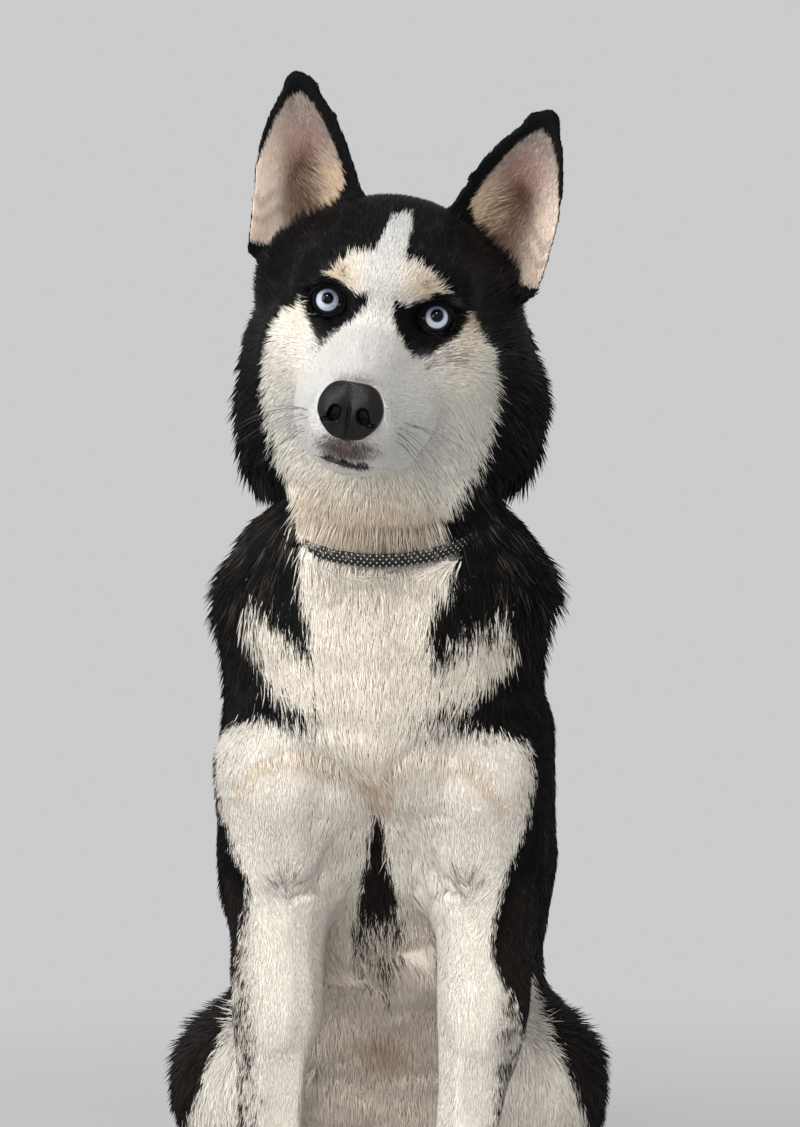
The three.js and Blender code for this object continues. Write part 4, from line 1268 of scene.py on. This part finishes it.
# %% Lips
LIP_POINTS, LIP_SIDES = 70, 12
mouth_path = np.array([face_place(x, z) for x, z in smooth_line(MOUTH, LIP_POINTS)]) + [0, 0.9, 0]
for _ in range(6):
    mouth_path[1:-1] = 0.5 * mouth_path[1:-1] + 0.25 * (mouth_path[:-2] + mouth_path[2:])
thick = 1.8 * hill((mouth_path[:, 0] + 2) / 8) + 0.15
lip = Finish("lip_skin")
lip_material = lip.surface(Base_Color=lip.mix(lip.noise(420.0), shade(14, 10, 10), shade(34, 26, 26)), Roughness=0.45,
                           Normal=lip.bump(lip.noise(800.0), 0.3, 0.0003))
made_piece("lips", *cord_mesh(from_head(mouth_path), thick, LIP_SIDES, 0.8), lip_material, "nose_leather")

# %% Whiskers
WHISKER_ROWS = ((-58, (-88, -80, -72, -64)), (-64, (-90, -82, -73)), (-70, (-86, -77, -68)))     # up, forward
BROW_LEANS = np.linspace(-0.7, 1.6, 9)
WHISKER_RADIUS, BROW_RADIUS = 0.20, 0.13
whiskers = []


def add_whisker(start, way, sag, points, radius, thinned):
    """A tapered hair from a start on the head along its way, sagging toward the tip."""
    t = np.linspace(0, 1, points)[:, None]
    path = start + way * t + sag * t ** 2
    whiskers.append(cord_mesh(from_head(path), radius * (1 - thinned * t[:, 0]), 5, down=HEAD_AXES[:, 1]))


for side in (-1, 1):
    for row, (up, places) in enumerate(WHISKER_ROWS):
        for place in places:
            nearest = np.array(outline_tree.find_nearest(Vector(from_head([side * 40, place, up])))[0])
            out = unit(np.array([side * 0.9, 0.15 + 0.25 * rng.random(), -0.12 - 0.22 * row + 0.1 * rng.normal()]))
            reach = rng.uniform(24, 44)
            sag = np.array([0, 0.25, -0.35]) * reach
            add_whisker(on_head(nearest) - out * 1.0, out * reach, sag, 10, WHISKER_RADIUS, 0.85)
for side in (-1, 1):
    for lean in BROW_LEANS:
        start = face_place(side * 23.5 + 1.5 * rng.normal(), 18 + 1.2 * rng.normal())
        out = unit(np.array([side * lean * 0.8, -0.12, 0.9 - 0.35 * abs(lean)]))
        add_whisker(start, out * rng.uniform(5, 9), np.array([side * 1.5, 1.5, -0.5]), 8, BROW_RADIUS, 0.8)
whisker_material = mottled("whisker_hair", 90.0, (40, 36, 34), (120, 112, 104), 0.35)
made_piece("whiskers", *joined(whiskers), whisker_material, "coat")
print(len(whiskers), "whiskers")

# %% [markdown]
# ## Claws
# Four claws to a paw, blunt from walking, each a curved horn that comes out of the hair at the front of its toe.
# One horn is a tapered cord bent along three points, and the toes' places follow the same arc as the solid's.

# %% Claws
FOREFEET, HINDFEET = ((50, -22, 30), (-66, -22, 30)), ((108, 108, 32), (-108, 108, 32))      # x, y, reach of the toes
TOES = (-1.5, -0.5, 0.5, 1.5)
TOE_STEP = 15
CLAW_POINTS, CLAW_SIDES = 14, 12
CLAW_TAPER = ([0, 0.35, 0.8, 1], [3.4, 3.1, 1.7, 0.7])      # how far along, and the radius there
claws = []
for x, y, reach in FOREFEET + HINDFEET:
    for i in TOES:
        side, front = x + TOE_STEP * i, y - reach + 5 * i * i - 12
        path = smooth_line([(side, front + 6, 14.5), (side + i, front - 1, 13), (side + 1.6 * i, front - 6, 8.5),
                            (side + 1.8 * i, front - 8.5, 3.2)], CLAW_POINTS)
        radii = np.interp(np.linspace(0, 1, CLAW_POINTS), *CLAW_TAPER)
        claws.append(cord_mesh(from_body(path), radii, CLAW_SIDES, 0.8, down=(1, 0, 0)))
horn_material = mottled("claw_horn", 300.0, (52, 44, 40), (112, 98, 86), 0.38, (0.2, 0.0002), 4.0, streaked=True)
made_piece("claws", *joined(claws), horn_material, "nose_leather")
print(len(claws), "claws")

# %% [markdown]
# ## The collar
# A thin flat collar of black woven ribbon with rows of small pale dots. The band is a crowned strip swept round
# an oval. The dots repeat hundreds of times, so Geometry Nodes place them: a staggered net of points lies on
# the band, and a low dome stands on each point, turned to the band's own normal.

# %% Band
COLLAR_HALF_WIDE, COLLAR_HALF_LONG = 62.0, 80.0
BAND_LOW, BAND_HIGH = -0.4, 7.8          # the band's edges, above the middle plane of the solid collar
BAND_OUT, BAND_CROWN = 1.9, 0.7
BAND_SPOKES = 256


def on_band(turn, height, out):
    """Places on the collar: an angle round it, a height up it and a distance outwards, in millimetres."""
    turn, height, out = np.broadcast_arrays(turn, height, out)
    flat = np.stack([COLLAR_HALF_WIDE * np.cos(turn), COLLAR_HALF_LONG * np.sin(turn)], -1)
    facing = unit(np.stack([COLLAR_HALF_LONG * np.cos(turn), COLLAR_HALF_WIDE * np.sin(turn)], -1))
    points = np.concatenate([flat + facing * out[..., None], height[..., None]], -1)
    return points @ collar_turn.T * MM + collar_middle


half_tall, band_middle = (BAND_HIGH - BAND_LOW) / 2, (BAND_HIGH + BAND_LOW) / 2


def crown(height):
    """How far the band bulges at a height from its middle."""
    return BAND_CROWN * (1 - (height / half_tall) ** 2)


# heights and outward distances, up the outer face and down the inner one
section = [(-half_tall, 0.1), (-half_tall + 0.25, 0.6)]
section += [(h, crown(h) + 0.7) for h in np.linspace(-half_tall + 0.7, half_tall - 0.7, 11)]
section += [(half_tall - 0.25, 0.6), (half_tall, 0.1), (half_tall - 0.3, -0.5), (0, -0.6), (-half_tall + 0.3, -0.5)]
turns = np.linspace(0, 2 * math.pi, BAND_SPOKES, endpoint=False)
rows = [on_band(turns, band_middle + h, BAND_OUT + o) for h, o in section]
last = len(rows) * BAND_SPOKES           # the last row of faces closes on the first row of points
band_faces = [tuple(i % last for i in face) for face in lathe_faces(len(rows) + 1, BAND_SPOKES, False)]

weave = Finish("woven_ribbon")
spots = weave.where()


def threads(direction, scale, distortion):
    return weave.add("ShaderNodeTexWave", {"wave_type": "BANDS", "bands_direction": direction},
                     {"Vector": spots, "Scale": scale, "Distortion": distortion}, 1)


woven = threads("DIAGONAL", 420.0, 1.0) * 0.5 + threads("Z", 300.0, 0.6) * 0.5
ribbon = weave.surface(Base_Color=weave.mix(woven, shade(5, 5, 6), shade(18, 18, 20)), Roughness=0.75,
                       Normal=weave.bump(woven, 0.5, 0.0003))
band = made_piece("collar_band", np.concatenate(rows), band_faces, ribbon, "webbing")
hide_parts("collar")

# %% Dots by Geometry Nodes
DOT_ROWS, DOTS_ROUND = (-3.15, -1.05, 1.05, 3.15), 112
DOT_RADIUS, DOT_RISE = 0.52, 0.3
dot_net = []
for k, height in enumerate(DOT_ROWS):
    place = (np.arange(DOTS_ROUND) + 0.5 * (k % 2)) / DOTS_ROUND * 2 * math.pi
    dot_net.append(on_band(place, band_middle + height, BAND_OUT + crown(height) + 0.62))
net = bpy.data.meshes.new("dot_net")
net.from_pydata([tuple(p) for p in np.concatenate(dot_net)], [], lathe_faces(len(DOT_ROWS), DOTS_ROUND, False))
net.update()
if (net.polygons[0].normal @ (net.polygons[0].center - Vector(collar_middle))) < 0:
    net.flip_normals()
dot_material = mottled("dot_thread", 1500.0, (165, 165, 170), (232, 232, 234), 0.6, (0.3, 0.0002), 2.0)

group = bpy.data.node_groups.new("dots", "GeometryNodeTree")
ports = {}
for name, kind, way in (("Net", "Geometry", "INPUT"), ("Radius", "Float", "INPUT"), ("Rise", "Float", "INPUT"),
                        ("Dots", "Geometry", "OUTPUT")):
    ports[name] = group.interface.new_socket(name, in_out=way, socket_type="NodeSocket" + kind).identifier
dots = Tree(group)
net_in, radius_in, rise_in = (dots.add("NodeGroupInput", out=name) for name in ("Net", "Radius", "Rise"))
ball = dots.add("GeometryNodeMeshUVSphere", {}, {"Segments": 8, "Rings": 5, "Radius": 1.0}, "Mesh")
size = dots.add("ShaderNodeCombineXYZ", {}, {"X": radius_in, "Y": radius_in, "Z": rise_in})
turn = dots.add("FunctionNodeAlignRotationToVector", {"axis": "Z"}, {"Vector": dots.add("GeometryNodeInputNormal")})
grown = dots.add("GeometryNodeInstanceOnPoints", {},
                 {"Points": net_in, "Instance": ball, "Rotation": turn, "Scale": size})
grown = dots.add("GeometryNodeRealizeInstances", {}, {"Geometry": grown})
grown = dots.add("GeometryNodeSetMaterial", {}, {"Geometry": grown, "Material": dot_material})
grown = dots.add("GeometryNodeSetShadeSmooth", {}, {"Geometry": grown})
dots.add("NodeGroupOutput", {}, {"Dots": grown})

holder = shown("dot_holder", net)
grower = holder.modifiers.new("dots", "NODES")
grower.node_group = group
grower[ports["Radius"]] = DOT_RADIUS * MM
grower[ports["Rise"]] = DOT_RISE * MM
dots_piece = shown("collar_dots", evaluated(holder))
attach(dots_piece, "root")
print("collar:", len(dots_piece.data.polygons), "faces in the dots")

# %% [markdown]
# ## The coat
# Each tuft is a small closed blade of a dozen hairs or so, four triangles. It is rooted in the skin, rises through
# the coat and lies down along the comb's direction, and its tip rests on the outside of the coat. Particle hair
# or curves would be quicker to make, but they have no solid and would be lost when the model is saved for
# others. So the tufts are worked out as arrays: where they grow, how they lie, and then all their corners.

# %% Length, width and number of tufts at each skin point
behind = ramp(Bd[:, 1], 60, 200)
width = (0.26 + 0.009 * length) * (1 + 0.6 * behind)
per_mm2 = cover / (0.5 * length * width)

# stray hair that stands out of the coat: ruff, shoulders, elbows, breeches, tail
STRAY = [   # how far it stands out, place, reach
    (12.0, (88, 30, 565), (24, 40, 40)),
    (11.0, (92, 20, 518), (20, 40, 12)),
    (13.0, (108, 10, 450), (26, 50, 22)),
    (4.0, (104, 20, 380), (20, 50, 40)),
    (4.0, (100, 30, 260), (22, 30, 40)),
    (11.0, (112, 150, 172), (34, 60, 20)),
    (5.0, (140, 160, 130), (20, 60, 50)),
    (5.0, (100, 400, 40), (90, 40, 30)),
    (9.0, (180, 352, 24), (22, 26, 26)),
    (0.7, (70, 20, 740), (60, 80, 90)),
]
shaggy = share[:, 2] + share[:, 3] + 0.6 * share[:, 8]
stray = 0.5 - 0.3 * share[:, 1] + 2.6 * shaggy * ramp(top_normals[:, 1], -0.2, 0.3)
for extra, spot, reach in STRAY:
    stray += extra * bump_at(both(Bd), spot, reach)

# %% Where no tuft grows
def in_collar(points):
    """How high above the collar's middle plane each place lies, and 1 where the collar lies bare in front."""
    seen = (points - collar_middle) / MM
    return seen @ collar_up, (1 - ramp(np.abs(seen[:, 0]), 40, 52)) * (seen[:, 1] < 0)


def may_grow(points, normals):
    """1 where hair may grow, 0 on the lids, the nose leather, under the collar's bare front and on the soles."""
    keeps = np.ones(len(points))
    for eye in EYES:
        away, forward, up = eye.local(points)
        keeps *= ramp(eye.reach(away, up) + 10 * (forward < -6), 1.08, 1.16)
    height, bare_front = in_collar(points)
    keeps *= 1 - bare_front * (height > BAND_LOW + 3.2) * (height < BAND_HIGH)
    leather_at = on_head(points) - NOSE_MIDDLE
    off_nose = np.hypot(leather_at[:, 0] / 18.3, leather_at[:, 2] / 16.2)
    keeps *= ramp(off_nose + 10 * (leather_at[:, 1] > 14), 0.94, 1.0)
    keeps *= 1 - (normals[:, 2] < -0.6) * (on_body(points)[:, 2] < 4)
    return keeps


print("mean length", length.mean().round(1), "mm, and", round(cover.mean(), 1), "hairs deep")

# %% Roots scattered over the skin
TUFTS = 369000
triangles = fetched(skin_mesh.polygons, "vertices", 3, np.int32)
P = corners_of(skin_mesh)
spans = np.cross(P[triangles[:, 1]] - P[triangles[:, 0]], P[triangles[:, 2]] - P[triangles[:, 0]])
area = 0.5 * np.linalg.norm(spans, axis=1) / MM ** 2
growth = per_mm2 * may_grow(top, top_normals)
weight = area * growth[triangles].mean(1)
print("skin area", round(area.sum() / 1e6, 2), "m2, wants", int(weight.sum()), "tufts, gets", TUFTS)

chosen = np.searchsorted(np.cumsum(weight) / weight.sum(), np.sort(rng.random(TUFTS)))
chosen = np.clip(chosen, 0, len(triangles) - 1)
corner = triangles[chosen]
a, b = rng.random(TUFTS), rng.random(TUFTS)
over = a + b > 1
a[over], b[over] = 1 - a[over], 1 - b[over]
bary = np.stack([1 - a - b, a, b], 1)[:, :, None]


def at_roots(values):
    values = values[:, None] if values.ndim == 1 else values
    found = (values[corner] * bary).sum(1)
    return found[:, 0] if found.shape[1] == 1 else found


uv = fetched(skin_mesh.uv_layers["OFBake"].data, "uv", 2)
root_uv = (uv.reshape(-1, 3, 2)[chosen] * bary).sum(1)
root = at_roots(P)
rise = unit(at_roots(skin_normals))
way = flattened(at_roots(lie), rise)
deep, long, wide, wild = (at_roots(v) for v in (depth, length, width, stray))
root_top = at_roots(top)
root_share = at_roots(share)
root_share[:, 1] = (part[corner] == 1).mean(1)

# %% Sway, so that no two tufts lie quite alike
SHALLOW, SWAY_SHALLOW, SWAY = 3, 0.13, 0.17      # a depth in millimetres, and turns in radians
turn = rng.normal(0, 1, TUFTS) * np.where(deep < SHALLOW, SWAY_SHALLOW, SWAY)
across = np.cross(way, rise)
way = way * np.cos(turn)[:, None] + across * np.sin(turn)[:, None]
long = long * rng.uniform(0.75, 1.2, TUFTS)

# %% Tips, laid on the outside of the coat
LIES_ALONG = 0.86                                # how much of its length a tuft runs along the skin
aim = root + (way * long[:, None] * LIES_ALONG + rise * deep[:, None]) * MM
found = [outline_tree.find_nearest(p) for p in aim.tolist()]
tip_top, tip_normal = (np.array([f[i] for f in found]) for i in (0, 1))
level = 0.2 * rng.random(TUFTS) ** 1.5
stand = wild * rng.random(TUFTS) ** 1.9
tip = tip_top + tip_normal * ((stand + 0.25 - deep * level) * MM)[:, None]

# %% Hair above the collar's bare front stops on the band
ABOVE_BAND, NEAR_BAND = 60, 24                   # how high over the collar the hair may still reach it
root_height, bare_front = in_collar(root)
tip_height, _ = in_collar(tip)
seen = (tip - collar_middle) / MM
band_turn = np.arctan2(seen @ collar_turn[:, 1] / COLLAR_HALF_LONG, seen[:, 0] / COLLAR_HALF_WIDE)
ragged = BAND_HIGH - 2.6 + 1.2 * np.sin(31 * band_turn) + 0.9 * np.sin(67 * band_turn + 1)
stops_at = ragged + rng.normal(0, 1.0, TUFTS)
falls_short = (root_height < NEAR_BAND) & (rng.random(TUFTS) < 0.8)
too_low = (root_height > BAND_HIGH) & (root_height < ABOVE_BAND) & (bare_front > 0.3)
too_low &= (tip_height < stops_at) | falls_short
lies_over = BAND_OUT + BAND_CROWN + 0.9 + rng.uniform(0, 1.4, TUFTS)
over_band = on_band(band_turn, np.minimum(stops_at, BAND_HIGH - 0.3), lies_over)

# %% Locks: neighbouring tufts share a tip
IN_A_LOCK, GATHER = 20, 0.45                     # tufts to a lock, and how far they come together
LOWEST_TIP, LOWEST_MIDDLE = 0.0008, 0.0012       # above the floor, in metres
locks = rng.choice(TUFTS, TUFTS // IN_A_LOCK, replace=False)
lock_tree = KDTree(len(locks))
for i, k in enumerate(locks):
    lock_tree.insert(root[k], i)
lock_tree.balance()
mine = locks[[lock_tree.find(p)[1] for p in root]]
gather = GATHER * ramp(deep, 2.5, 8.0) * rng.uniform(0.3, 1.0, TUFTS)
shared_tip = tip[mine] + 0.2 * (root - root[mine])
near_enough = np.linalg.norm(root - root[mine], axis=1) < 0.6 * long * MM
tip = tip + (gather * near_enough)[:, None] * (shared_tip - tip)
tip = np.where(too_low[:, None], over_band, tip)
tip[:, 2] = np.maximum(tip[:, 2], LOWEST_TIP)

# %% Corners and faces of the tufts
SUNK = 0.6                                       # how deep in the skin a tuft starts, in millimetres
bulge = (0.12 * deep + 0.022 * long)[:, None] * MM
middle = 0.6 * root + 0.4 * tip + unit(rise + tip_normal) * bulge
middle[:, 2] = np.maximum(middle[:, 2], LOWEST_MIDDLE)
across = unit(np.cross(unit(tip - root), rise))
half = (wide * rng.uniform(0.7, 1.25, TUFTS) * 0.5)[:, None] * MM
corners = np.stack([root - rise * SUNK * MM, middle - across * half, middle + across * half, tip], 1)
TUFT_FACES = np.array([(0, 2, 1), (1, 2, 3), (0, 1, 3), (0, 3, 2)])
TUFT_MAP = np.array([(0.5, 0), (0, 0.45), (1, 0.45), (0.5, 1.0)]) - 0.5
TUFT_PATCH = 0.003

# %% Colours of the tufts
chance = rng.uniform(-1, 1, TUFTS)
chance = 0.6 * chance + 0.4 * chance[mine]
toward_tip = rng.uniform(0.15, 0.95, (TUFTS, 1))
seen_at = (1 - toward_tip) * root_top + toward_tip * tip
tuft_colour = markings(on_head(seen_at), on_body(seen_at), tip_normal, root_share, chance)
paleness = ramp(tuft_colour.mean(1), 0.05, 0.4)
spread = 0.22 - 0.16 * paleness                        # black hair varies more than white
tuft_colour = tuft_colour * (1 + spread * rng.normal(0, 1, TUFTS))[:, None].clip(0.6, 1.5)
# painted shade and light along each tuft: darker at the root, where the coat shades it, a little lighter at the tip,
# and less of both on pale hair
painted_shading_along_tuft = np.array([0.75, 0.98, 0.98, 1.08])[None, :, None] ** (1 - 0.8 * paleness)[:, None, None]
corner_colour = np.clip(tuft_colour[:, None, :] * painted_shading_along_tuft, 0, 0.92)

# %% Tufts into meshes
PER_PIECE = 49000
COAT_WAY, TUFT_WAY = 0.9, 0.1                    # how far the shading follows the coat, and the tuft


def tuft_mesh(name, which):
    count = len(which)
    loops = TUFT_FACES.ravel()
    mesh = bpy.data.meshes.new(name)
    mesh.vertices.add(count * 4)
    mesh.vertices.foreach_set("co", corners[which].astype(np.float32).ravel())
    corner_of_loop = (loops[None, :] + 4 * np.arange(count)[:, None]).ravel()
    mesh.loops.add(len(corner_of_loop))
    mesh.loops.foreach_set("vertex_index", corner_of_loop.astype(np.int32))
    mesh.polygons.add(count * 4)
    mesh.polygons.foreach_set("loop_start", np.arange(0, count * 12, 3, dtype=np.int32))
    mesh.update(calc_edges=True)
    set_map(mesh, "OFBake", root_uv[which][:, None, :] + TUFT_MAP[loops][None] * TUFT_PATCH)
    set_colours(mesh, corner_colour[which].reshape(-1, 3))
    mesh.shade_smooth()
    return mesh


def soften(mesh, which):
    """Turns the tufts' shading normals most of the way to the coat's own."""
    own = normals_of(mesh).reshape(-1, 4, 3)
    coat_way = unit(0.5 * rise[which] + 0.5 * tip_normal[which])[:, None, :]
    soft = unit(TUFT_WAY * own + COAT_WAY * coat_way).reshape(-1, 3)
    mesh.normals_split_custom_set_from_vertices(soft.tolist())


hair_finish = fur_finish("guard_hair", 0.55, 0.1)
coat_pieces = []
GROUPS = (("head", (0,)), ("ears", (1,)), ("neck", (2,)), ("trunk", (3,)), ("forelegs", (5, 6, 7)),
          ("hindlegs", (8, 9)), ("tail", (4,)))
home = root_share.argmax(1)
for name, numbers in GROUPS:
    members = np.flatnonzero(np.isin(home, numbers))
    for start in range(0, len(members), PER_PIECE):
        which = members[start:start + PER_PIECE]
        piece = shown(f"coat_{name}_{start // PER_PIECE + 1}", tuft_mesh("coat_" + name, which))
        soften(piece.data, which)
        piece.data.materials.append(hair_finish)
        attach(piece, "root")
        coat_pieces.append(piece)
        print(piece.name, len(which), "tufts")
print(len(coat_pieces), "coat pieces")
